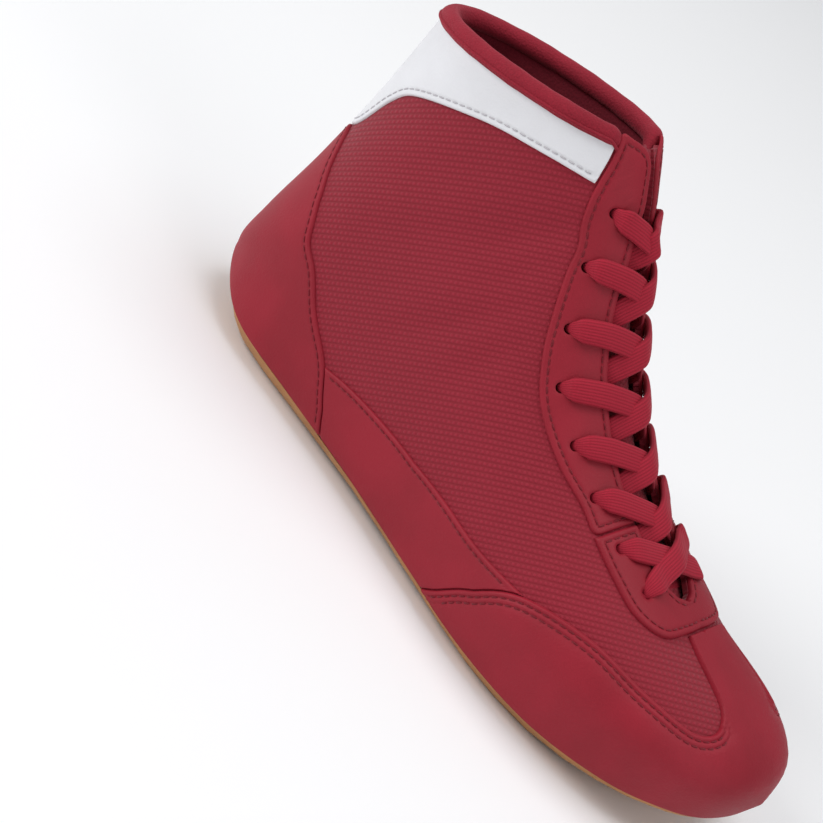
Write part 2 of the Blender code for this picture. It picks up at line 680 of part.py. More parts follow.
def add_sole():
    edge = ((0.0, 0.0), (0.18, 0.25), (0.46, 0.55), (0.82, 0.82), (1.25, 1.0))
    square = ((0.0, 0.0), (0.0, 1.0))
    points, faces = loft(sole_sections(SOLE_LIP, SOLE_GAP, lambda t: float(column("sole", t)), edge))
    outsole = add_object("outsole", points, faces, "gum_rubber")
    for name, (along, across) in PADS.items():
        x, y = along * LENGTH, across * BALL_WIDTH
        t, run, base_x, _ = base_line()
        place = float(np.interp(-x, -base_x, run))
        deep = float(column("sole", np.interp(place, run, t))) + SOLE_GAP
        px, pz, nx, nz = (float(v) for v in base_place(np.array(place)))
        floor = np.array([px + nx * deep, y, max(pz + nz * deep, 0)])
        up = np.array([-nx, 0, -nz])
        side = np.cross((0, 1, 0), up)
        discs = {}
        for kind, gap in (("pad", 0), ("seat", SOLE_GAP)):
            ring = []
            for height in (-PAD_DEPTH * 3, PAD_DEPTH + gap):
                for k in range(PAD_SIDES):
                    a = 2 * math.pi * k / PAD_SIDES
                    spoke = side * math.cos(a) + np.array([0, math.sin(a), 0])
                    ring.append(floor + up * height + spoke * (PAD_RADIUS + gap))
            discs[kind] = add_object(f"{kind}_{name}_cutter", ring, tube_faces(0, PAD_SIDES), None, cutters)
            face_out(discs[kind])
        boolean(outsole, discs["seat"], "DIFFERENCE")
        boolean(add_object("grip_pad_" + name, points, faces, "red_rubber"), discs["pad"], "INTERSECT")
    for obj in parts.objects:
        if obj.name == "outsole" or obj.name.startswith("grip_pad"):
            face_out(obj)
    bottom = -INSOLE_THICK - INSOLE_LIFT
    points, faces = loft(sole_sections(-INSOLE_CLEAR, bottom, lambda t: INSOLE_THICK, square))
    face_out(add_object("insole", points, faces, "foam"))


def face_out(obj):
    work = bmesh.new()
    work.from_mesh(obj.data)
    bmesh.ops.recalc_face_normals(work, faces=work.faces)
    work.to_mesh(obj.data)
    work.free()


def stand_on_origin():
    """Moves everything so that the middle of its footprint stands on the origin."""
    bpy.context.view_layer.update()
    graph = bpy.context.evaluated_depsgraph_get()
    spots = []
    for obj in parts.objects:
        shape = obj.evaluated_get(graph)
        mesh = shape.to_mesh()
        spots += [tuple(v.co) for v in mesh.vertices]
        shape.to_mesh_clear()
    low, high = np.min(spots, axis=0), np.max(spots, axis=0)
    shift = (-(low[0] + high[0]) / 2, -(low[1] + high[1]) / 2, -low[2])
    for obj in list(parts.objects) + list(cutters.objects):
        obj.location = shift


for old in list(bpy.data.objects):
    bpy.data.objects.remove(old, do_unlink=True)
parts = bpy.data.collections.new("high_top_sneaker")
cutters = bpy.data.collections.new("cutters")
for group in (parts, cutters):
    bpy.context.scene.collection.children.link(group)
materials = {name: new_material(name) for name in COLOURS}

add_sole()
shell = add_upper()
add_overlays()
add_binding()
add_holes(shell)
add_lace()
stand_on_origin()
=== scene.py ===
import math

import bmesh
import bpy
import numpy as np
from mathutils import Matrix, kdtree
from mathutils.geometry import delaunay_2d_cdt


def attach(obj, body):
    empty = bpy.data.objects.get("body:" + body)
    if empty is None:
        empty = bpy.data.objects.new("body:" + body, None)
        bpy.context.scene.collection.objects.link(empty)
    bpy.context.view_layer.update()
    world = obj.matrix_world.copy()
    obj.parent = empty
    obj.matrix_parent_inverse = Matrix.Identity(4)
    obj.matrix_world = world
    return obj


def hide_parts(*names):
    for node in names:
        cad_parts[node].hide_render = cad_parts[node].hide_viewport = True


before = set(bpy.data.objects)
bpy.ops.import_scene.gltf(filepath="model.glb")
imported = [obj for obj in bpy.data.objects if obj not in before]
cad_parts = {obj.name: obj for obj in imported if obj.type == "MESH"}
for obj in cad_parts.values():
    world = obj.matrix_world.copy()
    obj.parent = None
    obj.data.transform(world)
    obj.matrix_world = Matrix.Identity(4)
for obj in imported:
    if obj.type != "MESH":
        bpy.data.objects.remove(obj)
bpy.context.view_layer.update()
mm = 0.001
lateral, medial = -1, 1
sideNames = {"lateral": lateral, "medial": medial}

# the last: sections from toe tip to collar, in shares of the sizes above them
last = {
    "length": 283.0, "ballWidth": 97.5, "instepHeight": 93.0, "heelHeight": 141.0,
    "shift": (-141.3727, 2.1184, 0.0), "backT": 11, "topT": 15, "widestW": 0.4, "turnW": 0.16,
    "featherRise": 1.4,  # mm from the last's base up to the edge of the sole
}
lastColumns = (
    "topX", "topZ", "baseX", "baseZ", "middle", "lateral", "medial",
    "lateralBase", "medialBase", "widest", "crown",
)
lastSections = (
    (1.000, 0.312, 0.989, 0.142, 0.041, 0.000, 0.000, 0.000, 0.000, 0.45, 2.0),  # toe tip
    (0.989, 0.409, 0.972, 0.128, 0.036, 0.210, 0.205, 0.190, 0.185, 0.45, 2.2),
    (0.961, 0.473, 0.933, 0.106, 0.031, 0.338, 0.328, 0.313, 0.303, 0.42, 2.3),
    (0.905, 0.527, 0.869, 0.078, 0.015, 0.441, 0.421, 0.410, 0.390, 0.40, 2.4),  # toe box
    (0.813, 0.591, 0.770, 0.050, 0.000, 0.508, 0.472, 0.472, 0.436, 0.36, 2.3),
    (0.721, 0.677, 0.657, 0.041, 0.000, 0.523, 0.477, 0.487, 0.441, 0.32, 2.2),  # ball
    (0.633, 0.806, 0.530, 0.044, 0.000, 0.487, 0.421, 0.441, 0.369, 0.30, 2.0),
    (0.548, 1.000, 0.389, 0.050, 0.000, 0.431, 0.385, 0.379, 0.328, 0.32, 2.0),  # instep
    (0.481, 1.215, 0.233, 0.053, 0.000, 0.385, 0.374, 0.338, 0.318, 0.38, 2.1),
    (0.445, 1.355, 0.120, 0.060, 0.000, 0.364, 0.359, 0.308, 0.303, 0.40, 2.2),
    (0.424, 1.441, 0.052, 0.089, 0.000, 0.349, 0.349, 0.195, 0.190, 0.40, 2.2),
    (0.406, 1.505, 0.003, 0.125, 0.000, 0.338, 0.338, 0.000, 0.000, 0.40, 2.2),  # back of the heel
    (0.392, 1.570, 0.004, 0.262, 0.000, 0.328, 0.328, 0.000, 0.000, 0.42, 2.2),
    (0.378, 1.624, 0.018, 0.482, 0.000, 0.308, 0.308, 0.000, 0.000, 0.46, 2.2),
    (0.364, 1.677, 0.028, 0.738, 0.000, 0.292, 0.287, 0.000, 0.000, 0.50, 2.2),
    (0.350, 1.720, 0.032, 1.000, 0.000, 0.287, 0.277, 0.000, 0.000, 0.50, 2.2),  # collar
)
widthColumns = ("lateral", "medial", "lateralBase", "medialBase")
lastUnits = [last[k] for k in ("length", "instepHeight", "length", "heelHeight")]
lastUnits += [last["ballWidth"]] * 5 + [1, 1]
lastTable = dict(zip(lastColumns, (np.array(lastSections) * lastUnits).T))

throatTable = np.array((  # place along the last, half the throat's gap, lap of the tongue
    (4.50, 0, 19), (4.58, 5, 14), (4.78, 9, 12), (5.30, 11, 14), (6.60, 13, 14),
    (7.40, 12.5, 14), (8.10, 11, 14), (9.40, 7.2, 13), (11.50, 2.8, 11.5), (15, 1.1, 9),
))
laceHoles = (  # top to bottom
    (11.54, 0.860), (9.40, 0.800), (8.08, 0.765), (7.36, 0.745),
    (6.68, 0.768), (6.06, 0.797), (5.38, 0.830), (4.75, 0.858),
)


def ease(share):
    return share**2 * (3 - 2 * share)


def rounded(share):
    return np.sqrt(1 - (1 - np.clip(share, 0, 1)) ** 2)


# smooth curve through the values, read at the places t
def lane(values, t, before=None, after=None):
    before = 2 * values[0] - values[1] if before is None else before
    after = 2 * values[-1] - values[-2] if after is None else after
    row = np.concatenate([[before], values, [after]])
    i = np.clip(np.floor(t), 0, len(values) - 2).astype(int)
    u = t - i
    a, b, c, d = (row[i + k] for k in range(4))
    return 0.5 * (2 * b + (c - a) * u + (2 * a - 5 * b + 4 * c - d) * u**2 + (3 * b - a - 3 * c + d) * u**3)


def column(name, t):
    values = lastTable[name]
    return lane(values, t, -values[1] if name in widthColumns else values[1])


# the base line turns round the heel low down and runs on up the back higher up
def baseColumn(name, t, w):
    values = lastTable[name]
    front = values[: last["backT"] + 1]
    held = np.minimum(t, last["backT"])
    if name in widthColumns:
        turning = lane(front, held, -front[1], -front[-2])
        running = lane(front, held, -front[1], front[-2])
    else:
        turning = lane(front, held, front[1], front[-2])
        running = lane(values, t, values[1])
    share = np.where(t > last["backT"], 1, np.clip(w / last["turnW"], 0, 1))
    return turning + (running - turning) * ease(share)


def halfWidth(t, side):
    return np.where(side < 0, column("lateral", t), column("medial", t))


def arrays(*values):
    return np.broadcast_arrays(*(np.asarray(v, float) for v in values))


# place on the last: t from toe tip to collar, w from the base up to the ridge
def lastPoint(t, w, side):
    t, w, side = arrays(t, w, side)
    past = (w < 0) & (t > last["backT"])
    side = np.where((t < 0) ^ (w > 1) ^ past, -side, side)
    t = np.abs(t)
    w = np.where(w > 1, 2 - w, np.where(past, -w, np.maximum(w, 0)))
    wide = np.maximum(halfWidth(t, side), 0)
    foot = np.where(side < 0, baseColumn("lateralBase", t, w), baseColumn("medialBase", t, w))
    foot = np.clip(foot, 0, wide)
    widest, power = column("widest", t), 2 / column("crown", t)
    split = last["widestW"]
    low = np.clip(w / split, 0, 1) * math.pi / 2
    high = np.clip((w - split) / (1 - split), 0, 1) * math.pi / 2
    up = np.where(w <= split, widest * (1 - np.cos(low)), widest + (1 - widest) * np.sin(high) ** power)
    out = np.where(w <= split, foot + (wide - foot) * np.sin(low), wide * np.clip(np.cos(high), 0, 1) ** power)
    baseX, baseZ = baseColumn("baseX", t, w), baseColumn("baseZ", t, w)
    x = baseX + (column("topX", t) - baseX) * up
    z = baseZ + (column("topZ", t) - baseZ) * up
    return np.stack([x, column("middle", t) + side * out, z], -1) + last["shift"]


def unit(v):
    return v / np.maximum(np.linalg.norm(v, axis=-1, keepdims=True), 1e-9)


def onLast(chart, side):
    return lastPoint(chart[:, 0], chart[:, 1], side)


def lastNormal(t, w, side, step=0.03):
    t, w, side = arrays(t, w, side)
    t = np.where(w > 1 - step, np.maximum(t, 2 * step), t)
    along = lastPoint(t + step, w, side) - lastPoint(t - step, w, side)
    up = lastPoint(t, w + step, side) - lastPoint(t, w - step, side)
    return unit(np.cross(along, up) * side[..., None])


def wAtWidth(t, half, side):
    share = np.clip(half / np.maximum(halfWidth(t, side), 1e-6), 0, 1)
    angle = np.arccos(share ** (column("crown", t) / 2))
    return last["widestW"] + (1 - last["widestW"]) * angle / (math.pi / 2)


def throatGap(t):
    return np.interp(t, throatTable[:, 0], throatTable[:, 1])


def throatW(t, side):
    return wAtWidth(t, throatGap(t), side)


def featherW(t):
    tall = np.hypot(*(column("top" + axis, t) - baseColumn("base" + axis, t, 0) for axis in "XZ"))
    angle = np.arccos(1 - last["featherRise"] / (column("widest", t) * tall))
    return last["widestW"] * angle / (math.pi / 2)


def runLength(path):
    return np.concatenate([[0], np.cumsum(np.linalg.norm(np.diff(path, axis=0), axis=1))])


def readAlong(places, length, rows):
    return np.stack([np.interp(places, length, values) for values in rows.T], -1)


# soft creases on both sides of the upper: chart points along each, depth and half width in mm
creases = (
    ([(10.9, 0.76), (10.5, 0.66), (10.2, 0.56)], -0.55, 5.0),
    ([(9.7, 0.73), (9.35, 0.64), (9.2, 0.54)], -0.7, 5.5),
    ([(8.75, 0.71), (8.6, 0.62), (8.5, 0.50), (8.6, 0.40)], -0.8, 6.0),
    ([(8.0, 0.69), (7.9, 0.60), (7.7, 0.50)], -0.6, 5.5),
    ([(13.3, 0.55), (12.9, 0.42), (12.7, 0.30)], -0.5, 8.0),
    ([(5.0, 0.74), (5.05, 0.66), (5.2, 0.58)], -0.45, 5.0),
)
creaseSteps, creaseFade = 40, 0.7


def creaseLines():
    lines = []
    for side in (lateral, medial):
        for spots, depth, width in creases:
            spots = np.array(spots)
            k = np.linspace(0, len(spots) - 1, creaseSteps)
            t, w = (lane(spots[:, c], k) for c in range(2))
            fade = np.sin(np.linspace(0, math.pi, creaseSteps)) ** creaseFade
            lines.append((lastPoint(t, w, side), depth * fade, width))
    return lines


creaseTable = creaseLines()


def relief(points):
    flat = points.reshape(-1, 3)
    total = np.zeros(len(flat))
    for line, depth, width in creaseTable:
        near = ((flat > line.min(0) - 3 * width) & (flat < line.max(0) + 3 * width)).all(1)
        if near.any():
            gap = np.linalg.norm(flat[near][:, None] - line, axis=-1)
            first = gap.argmin(1)
            total[near] += depth[first] * np.exp(-((gap.min(1) / width) ** 2))
    return total.reshape(points.shape[:-1])


def skin(t, w, side, height):
    base = lastPoint(t, w, side)
    return base + lastNormal(t, w, side) * (height + relief(base))[..., None]


print("last ready")


# meshes
def addObject(name, data):
    obj = bpy.data.objects.new(name, data)
    bpy.context.scene.collection.objects.link(obj)
    return obj


def addPiece(name, points, polys, finishes, kinds=None, uv=None, sharp=40):
    mesh = bpy.data.meshes.new(name)
    spots = [tuple(p) for p in np.asarray(points) * mm]
    mesh.from_pydata(spots, [], [tuple(int(i) for i in p) for p in polys])
    for finish in finishes:
        mesh.materials.append(finish)
    mesh.polygons.foreach_set("use_smooth", [True] * len(mesh.polygons))
    if kinds is not None:
        mesh.polygons.foreach_set("material_index", kinds)
    if uv is not None:
        mesh.uv_layers.new(name="fit").data.foreach_set("uv", np.asarray(uv, float).reshape(-1))
    mesh.validate()
    mesh.update()
    mesh.set_sharp_from_angle(angle=math.radians(sharp))
    return addObject(name, mesh)


def settle(obj, slot, *nodes):
    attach(obj, "root")
    if nodes:
        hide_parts(*nodes)
    return obj


# closed shell from halves with an outer and an inner layer, with a wall round every open edge
def addShell(name, halves, finishes, sharp=40):
    outer, inner, faces, uv = [], [], [], []
    for side, top, under, found in halves:
        start = sum(len(p) for p in outer)
        faces += [[start + i for i in f] for f in found]
        outer.append(top)
        inner.append(under)
        uv.append(clothUv(top, side))
    outer, inner, uv = (np.concatenate(p) for p in (outer, inner, uv))
    _, first, index = np.unique(np.round(outer, 3), axis=0, return_index=True, return_inverse=True)
    index = index.reshape(-1)
    count = len(first)
    polys, corners, kinds, edges = [], [], [], {}
    for face in faces:
        ring = [i for k, i in enumerate(face) if index[i] != index[face[k - 1]]]
        if len(ring) < 3:
            continue
        polys += [[index[i] for i in ring], [index[i] + count for i in ring[::-1]]]
        corners += [ring, ring[::-1]]
        kinds += [0, len(finishes) - 1]
        for k, i in enumerate(ring):
            edges[(index[ring[k - 1]], index[i])] = (ring[k - 1], i)
    for (a, b), (c, d) in edges.items():
        if (b, a) not in edges:
            polys.append([b, a, a + count, b + count])
            corners.append([d, c, c, d])
            kinds.append(0)
    spots = np.concatenate([uv[ring] for ring in corners])
    return addPiece(name, np.concatenate([outer[first], inner[first]]), polys, finishes, kinds, spots, sharp)


def gridFaces(rows, columns, flip):
    faces = []
    for i in range(rows - 1):
        for j in range(columns - 1):
            a = i * columns + j
            face = [a, a + 1, a + columns + 1, a + columns]
            faces.append(face[::-1] if flip else face)
    return faces


# rings of a section carried along a path, closed at both ends
def sweep(path, across, up, section):
    count = len(section[0])
    points, faces = [], []
    for p, a, u, ring in zip(path, across, up, section):
        points.append(p + ring[:, :1] * a + ring[:, 1:] * u)
    for i in range(len(path) - 1):
        for j in range(count):
            a, b = i * count + j, i * count + (j + 1) % count
            faces.append([a, b, b + count, a + count])
    faces.append(list(range(count))[::-1])
    faces.append([(len(path) - 1) * count + j for j in range(count)])
    return np.concatenate(points), faces


def circle(sides):
    turn = np.linspace(0, 2 * math.pi, sides, endpoint=False)
    return np.stack([np.cos(turn), np.sin(turn)], -1)


# cloth direction: the rows of the weave run level across the side, mirrored on the inner side
clothLay = {"turn": 14, "out": (0.15, -0.85, 0.5), "level": (0.608, 0.535, 0.587)}


def clothUv(points, side):
    across = np.where(side < 0, points[:, 1], -points[:, 1])
    flat = np.stack([points[:, 0], across, points[:, 2]], -1)
    turn, out, level = math.radians(clothLay["turn"]), unit(np.array(clothLay["out"])), np.array(clothLay["level"])
    level = unit(level - out * (level @ out))
    level = level * math.cos(turn) - np.cross(out, level) * math.sin(turn)
    return np.stack([flat @ level, flat @ np.cross(out, level)], -1)


# materials
def startFinish(name, values):
    finish = bpy.data.materials.new(name)
    finish.use_nodes = True
    shader = finish.node_tree.nodes["Principled BSDF"]
    for key, value in values.items():
        shader.inputs[key].default_value = value
    return finish, finish.node_tree, shader


def node(tree, kind, values, **settings):
    made = tree.nodes.new("ShaderNode" + kind)
    for key, value in settings.items():
        setattr(made, key, value)
    for key, value in values.items():
        if isinstance(value, bpy.types.NodeSocket):
            tree.links.new(value, made.inputs[key])
        else:
            made.inputs[key].default_value = value
    return made


def calc(tree, operation, a, b=0.0):
    return node(tree, "Math", {0: a, 1: b}, operation=operation).outputs[0]


def spread(tree, value, low, high, start=0.0, end=1.0, kind="LINEAR"):
    values = {"Value": value, "From Min": low, "From Max": high, "To Min": start, "To Max": end}
    return node(tree, "MapRange", values, interpolation_type=kind).outputs[0]


def blendColours(tree, factor, a, b):
    return node(tree, "Mix", {0: factor, 6: (*a, 1), 7: (*b, 1)}, data_type="RGBA").outputs[2]


def noise(tree, place, scale, detail=2.0):
    return node(tree, "TexNoise", {"Vector": place, "Scale": scale, "Detail": detail}).outputs["Fac"]


# sum of values, each with its share
def mixed(tree, *parts):
    total = None
    for value, share in parts:
        value = value if share == 1 else calc(tree, "MULTIPLY", value, share)
        total = value if total is None else calc(tree, "ADD", total, value)
    return total


def objectPlace(tree):
    return node(tree, "TexCoord", {}).outputs["Object"]


def fitMap(tree):
    return node(tree, "SeparateXYZ", {0: node(tree, "UVMap", {}, uv_map="fit").outputs[0]}).outputs


# colours by shade, roughness by grain, and a raised surface
def coat(tree, shader, shade, dark, light, rough, height, distance, strength):
    made = node(tree, "Bump", {"Height": height, "Distance": distance, "Strength": strength})
    tree.links.new(made.outputs["Normal"], shader.inputs["Normal"])
    tree.links.new(blendColours(tree, shade, dark, light), shader.inputs["Base Color"])
    tree.links.new(rough, shader.inputs["Roughness"])


# smooth synthetic leather: fine grain, slight cloudiness, a soft sheen
def leatherFinish(name, dark, light, roughness, sheen):
    finish, tree, shader = startFinish(name, {
        "Sheen Weight": sheen, "Sheen Roughness": 0.4, "Sheen Tint": (*light, 1), "Specular IOR Level": 0.3,
    })
    place = objectPlace(tree)
    cloud, grain = noise(tree, place, 38.0, 3.0), noise(tree, place, 2600.0)
    pebble = node(tree, "TexVoronoi", {"Vector": place, "Scale": 1150.0}, feature="SMOOTH_F1").outputs["Distance"]
    shade = mixed(tree, (spread(tree, cloud, 0.35, 0.65), 1), (spread(tree, grain, 0.2, 0.8, -0.25, 0.25), 1))
    rough = spread(tree, grain, 0.25, 0.75, roughness - 0.06, roughness + 0.08)
    coat(tree, shader, shade, dark, light, rough, mixed(tree, (pebble, 0.6), (grain, 0.4)), 0.00022, 0.55)
    return finish


# woven cloth: half-drop rows of small raised knots, the fit map is in mm; the colour is lighter on the knots and
# ribs and darker in the dips between rows, which is painted shade
def clothFinish(name, dark, light, pitch, yarnPitch, lift):
    finish, tree, shader = startFinish(name, {
        "Sheen Weight": 0.15, "Sheen Roughness": 0.5, "Specular IOR Level": 0.25,
    })

    def fromMiddle(value):
        return calc(tree, "MULTIPLY", calc(tree, "SUBTRACT", calc(tree, "FRACT", value), 0.5), 2.0)

    across, up, _ = fitMap(tree)
    row = calc(tree, "DIVIDE", up, pitch[1])
    odd = calc(tree, "FLOORED_MODULO", calc(tree, "FLOOR", row), 2.0)
    du = fromMiddle(mixed(tree, (calc(tree, "DIVIDE", across, pitch[0]), 1), (odd, 0.5)))
    dv = fromMiddle(row)
    rowReach = calc(tree, "MULTIPLY", dv, dv)
    reach = calc(tree, "ADD", calc(tree, "MULTIPLY", du, du), rowReach)
    knot = spread(tree, reach, 0.02, 0.52, 1.0, 0.0, "SMOOTHSTEP")
    rib = spread(tree, rowReach, 0.1, 1.0, 1.0, 0.0, "SMOOTHSTEP")
    yarn = calc(tree, "SINE", calc(tree, "MULTIPLY", across, 2 * math.pi / yarnPitch))
    place = objectPlace(tree)
    fuzz, cloud = noise(tree, place, 3200.0), noise(tree, place, 30.0)
    raisedAndPaintedShade = mixed(tree, (knot, 0.6), (rib, 0.4))
    # colour follows the raised knots and ribs: painted shade in the dips between them
    shade = mixed(tree, (raisedAndPaintedShade, 1), (spread(tree, fuzz, 0.2, 0.8, -0.2, 0.2), 1),
                  (spread(tree, cloud, 0.3, 0.7, -0.08, 0.08), 1))
    rough = spread(tree, fuzz, 0.2, 0.8, 0.62, 0.8)
    height = mixed(tree, (raisedAndPaintedShade, 1), (yarn, 0.06), (fuzz, 0.2))
    coat(tree, shader, shade, dark, light, rough, height, lift, 0.8)
    return finish


# flat woven lace: ribs along it and a fine twill across, the fit map is in mm; the colour is darker in the grooves
# between ribs, which is painted shade
def laceFinish(name, dark, light, ribPitch, twillPitch):
    finish, tree, shader = startFinish(name, {
        "Sheen Weight": 0.2, "Sheen Roughness": 0.5, "Sheen Tint": (1.0, 0.25, 0.3, 1), "Specular IOR Level": 0.2,
    })
    across, up, _ = fitMap(tree)
    rib = calc(tree, "ABSOLUTE", calc(tree, "SINE", calc(tree, "MULTIPLY", across, math.pi / ribPitch)))
    slant = mixed(tree, (up, 2 * math.pi / twillPitch), (rib, 2.4))
    twill = spread(tree, calc(tree, "SINE", slant), -1.0, 1.0)
    fuzz = noise(tree, objectPlace(tree), 3000.0)
    height = mixed(tree, (rib, 0.85), (twill, 0.15))
    # colour follows the rib height: painted shade in the grooves between the ribs
    shade = mixed(tree, (height, 1), (spread(tree, fuzz, 0.2, 0.8, -0.25, 0.25), 1))
    rough = spread(tree, fuzz, 0.2, 0.8, 0.6, 0.78)
    coat(tree, shader, shade, dark, light, rough, mixed(tree, (height, 1), (fuzz, 0.15)), 0.00022, 0.6)
    return finish


# soft brushed knit for roll, lining and insole
def knitFinish(name, dark, light, stitch):
    finish, tree, shader = startFinish(name, {
        "Sheen Weight": 0.25, "Sheen Roughness": 0.5, "Sheen Tint": (1.0, 0.3, 0.35, 1), "Specular IOR Level": 0.2,
    })
    place = objectPlace(tree)
    loops = node(tree, "TexVoronoi", {"Vector": place, "Scale": stitch}).outputs["Distance"]
    fuzz, cloud = noise(tree, place, 2500.0, 3.0), noise(tree, place, 45.0)
    shade = mixed(tree, (spread(tree, fuzz, 0.25, 0.75), 1), (spread(tree, cloud, 0.3, 0.7, -0.2, 0.2), 1))
    rough = spread(tree, fuzz, 0.2, 0.8, 0.7, 0.88)
    coat(tree, shader, shade, dark, light, rough, mixed(tree, (fuzz, 0.5), (loops, -1)), 0.0003, 0.6)
    return finish


# satin rubber
def rubberFinish(name, dark, light, roughness):
    finish, tree, shader = startFinish(name, {"Specular IOR Level": 0.45})
    place = objectPlace(tree)
    cloud, speck = noise(tree, place, 55.0, 3.0), noise(tree, place, 1800.0)
    shade = mixed(tree, (spread(tree, cloud, 0.3, 0.7), 1), (spread(tree, speck, 0.2, 0.8, -0.15, 0.15), 1))
    rough = spread(tree, speck, 0.2, 0.8, roughness - 0.06, roughness + 0.06)
    coat(tree, shader, shade, dark, light, rough, speck, 0.00006, 0.7)
    return finish


def threadFinish(name, dark, light):
    finish, tree, shader = startFinish(name, {"Sheen Weight": 0.1, "Specular IOR Level": 0.2})
    strand = noise(tree, objectPlace(tree), 4000.0)
    coat(tree, shader, strand, dark, light, spread(tree, strand, 0.2, 0.8, 0.5, 0.65), strand, 0.0002, 0.6)
    return finish


redLeather = leatherFinish("redLeather", (0.245, 0.0066, 0.0178), (0.290, 0.0082, 0.0222), 0.56, 0.15)
whiteLeather = leatherFinish("whiteLeather", (0.69, 0.69, 0.712), (0.74, 0.74, 0.765), 0.42, 0.05)
redCloth = clothFinish("redCloth", (0.210, 0.0055, 0.0155), (0.298, 0.0125, 0.0300), (1.75, 1.95), 0.45, 0.00032)
redLace = laceFinish("redLace", (0.240, 0.0064, 0.0180), (0.370, 0.0118, 0.0315), 1.1, 1.0)
redRoll = knitFinish("redRoll", (0.190, 0.007, 0.017), (0.300, 0.014, 0.030), 1300.0)
redLining = knitFinish("redLining", (0.110, 0.005, 0.012), (0.200, 0.010, 0.022), 900.0)
darkFoam = knitFinish("darkFoam", (0.060, 0.006, 0.010), (0.110, 0.013, 0.020), 700.0)
gumRubber = rubberFinish("gumRubber", (0.38, 0.165, 0.045), (0.50, 0.235, 0.075), 0.45)
padRubber = rubberFinish("padRubber", (0.32, 0.020, 0.030), (0.40, 0.030, 0.045), 0.42)
# red thread darker than the leather around it: painted shade of stitches sunk in their pressed lines
redThreadWithPaintedShade = threadFinish("redThreadWithPaintedShade", (0.130, 0.0045, 0.0110), (0.220, 0.0080, 0.0180))
whiteThread = threadFinish("whiteThread", (0.42, 0.40, 0.43), (0.60, 0.58, 0.60))
print("materials ready")


# upper: one hollow lasted shell, woven outside, lined inside, pierced for the lace
upperForm = {
    "wall": 2.0, "perSection": 13, "columns": 56, "throatRows": (4.5, 4.8, 16), "holeRadius": 2.9, "sharp": 60,
    "bendT": 12.7, "rollSeat": 2.4, "rollEndW": 0.785, "rollClear": 0.005, "cornerW": 0.86, "cornerDrop": 0.02,
}


# top edge of the upper: under the roll at the back and sides, up to the collar beside the throat
def rimT(w, side, step=0.05):
    form, top = upperForm, last["topT"]
    high = np.linalg.norm(lastPoint(top, w, side) - lastPoint(top - step, w, side), axis=-1)
    seat = top - form["rollSeat"] * step / high
    rise = w - form["rollEndW"] - form["rollClear"]
    rise = np.clip(rise / (form["cornerW"] - form["rollEndW"]), 0, 1)
    return seat + (top - form["cornerDrop"] - seat) * ease(rise)


def makeUpper():
    form, top = upperForm, last["topT"]
    rows = np.linspace(0, top, top * form["perSection"] + 1)
    rows = np.unique(np.concatenate([rows, np.linspace(*form["throatRows"])]))
    share = np.linspace(0, 1, form["columns"])
    halves = []
    for side in (lateral, medial):
        w = share * throatW(rows, side)[:, None]
        row = np.repeat(rows[:, None], form["columns"], 1)
        pull = np.clip((row - form["bendT"]) / (top - form["bendT"]), 0, 1)
        t = np.minimum(row, form["bendT"]) + pull * (rimT(w, side) - form["bendT"])
        outer, inner = (skin(t, w, side, height).reshape(-1, 3) for height in (0.0, -form["wall"]))
        faces = gridFaces(len(rows), form["columns"], side > 0)
        holes = onLast(np.array(laceHoles), side)
        away = np.linalg.norm(outer[np.array(faces)].mean(1)[:, None] - holes, axis=-1).min(1)
        halves.append((side, outer, inner, [f for f, gap in zip(faces, away) if gap >= form["holeRadius"]]))
    obj = addShell("upperShell", halves, [redCloth, redLining], form["sharp"])
    settle(obj, "red_fabric", "upper")


makeUpper()
print("upper made")


# panels sewn on the upper
edgeForms = {  # thickness, edge rounding, and the pressed stitch lines: distance from the edge, depth, half width
    "toe": {"thick": 1.75, "lip": 0.25, "round": 1.1, "lines": ((2.1, 0.55, 0.50), (4.3, 0.42, 0.50))},
    "counter": {"thick": 1.35, "lip": 0.25, "round": 0.9, "lines": ((2.2, 0.30, 0.40),)},
    "side": {"thick": 1.05, "lip": 0.2, "round": 0.8, "lines": ((2.0, 0.30, 0.40),)},
    "stay": {"thick": 1.30, "lip": 0.25, "round": 0.9, "lines": ((2.6, 0.34, 0.45),)},
    "base": {"thick": 1.75, "lip": 0.30, "round": 1.2, "lines": ((2.6, 0.36, 0.45),)},
    "band": {"thick": 1.20, "lip": 0.25, "round": 0.9, "lines": ((2.3, 0.36, 0.45),)},
}
panelGrid = {
    "step": 1.2, "closest": 0.25, "under": 0.06, "cutRound": 0.45,
    "insets": (0.12, 0.35, 0.7, 1.15, 1.6, 2.05, 2.5, 3.0, 3.6, 4.2, 4.9),
    "insetShare": 0.88, "lineShare": 0.93,  # share of its inset that a moved point keeps from every edge
    "inner": 2.6, "rowShare": 0.87, "innerClear": 1.3,
}
holeForm = {"radius": 1.95, "rings": (0, 0.3, 0.7, 1.3), "points": 18, "clear": 1.9, "slack": 0.12,
            "dish": 0.45, "dishWidth": 0.5}
stitchForm = {
    "pitch": 3.2, "radius": 0.32, "sides": 6, "raise": 0.55, "leastPoints": 4,
    # rings along a stitch: place in mm, share of the radius and lift
    "rings": ((-1.2, 0.45, -0.25), (-1.008, 0.9, -0.05), (0, 1.0, 0.10), (1.008, 0.9, -0.05), (1.2, 0.45, -0.25)),
}

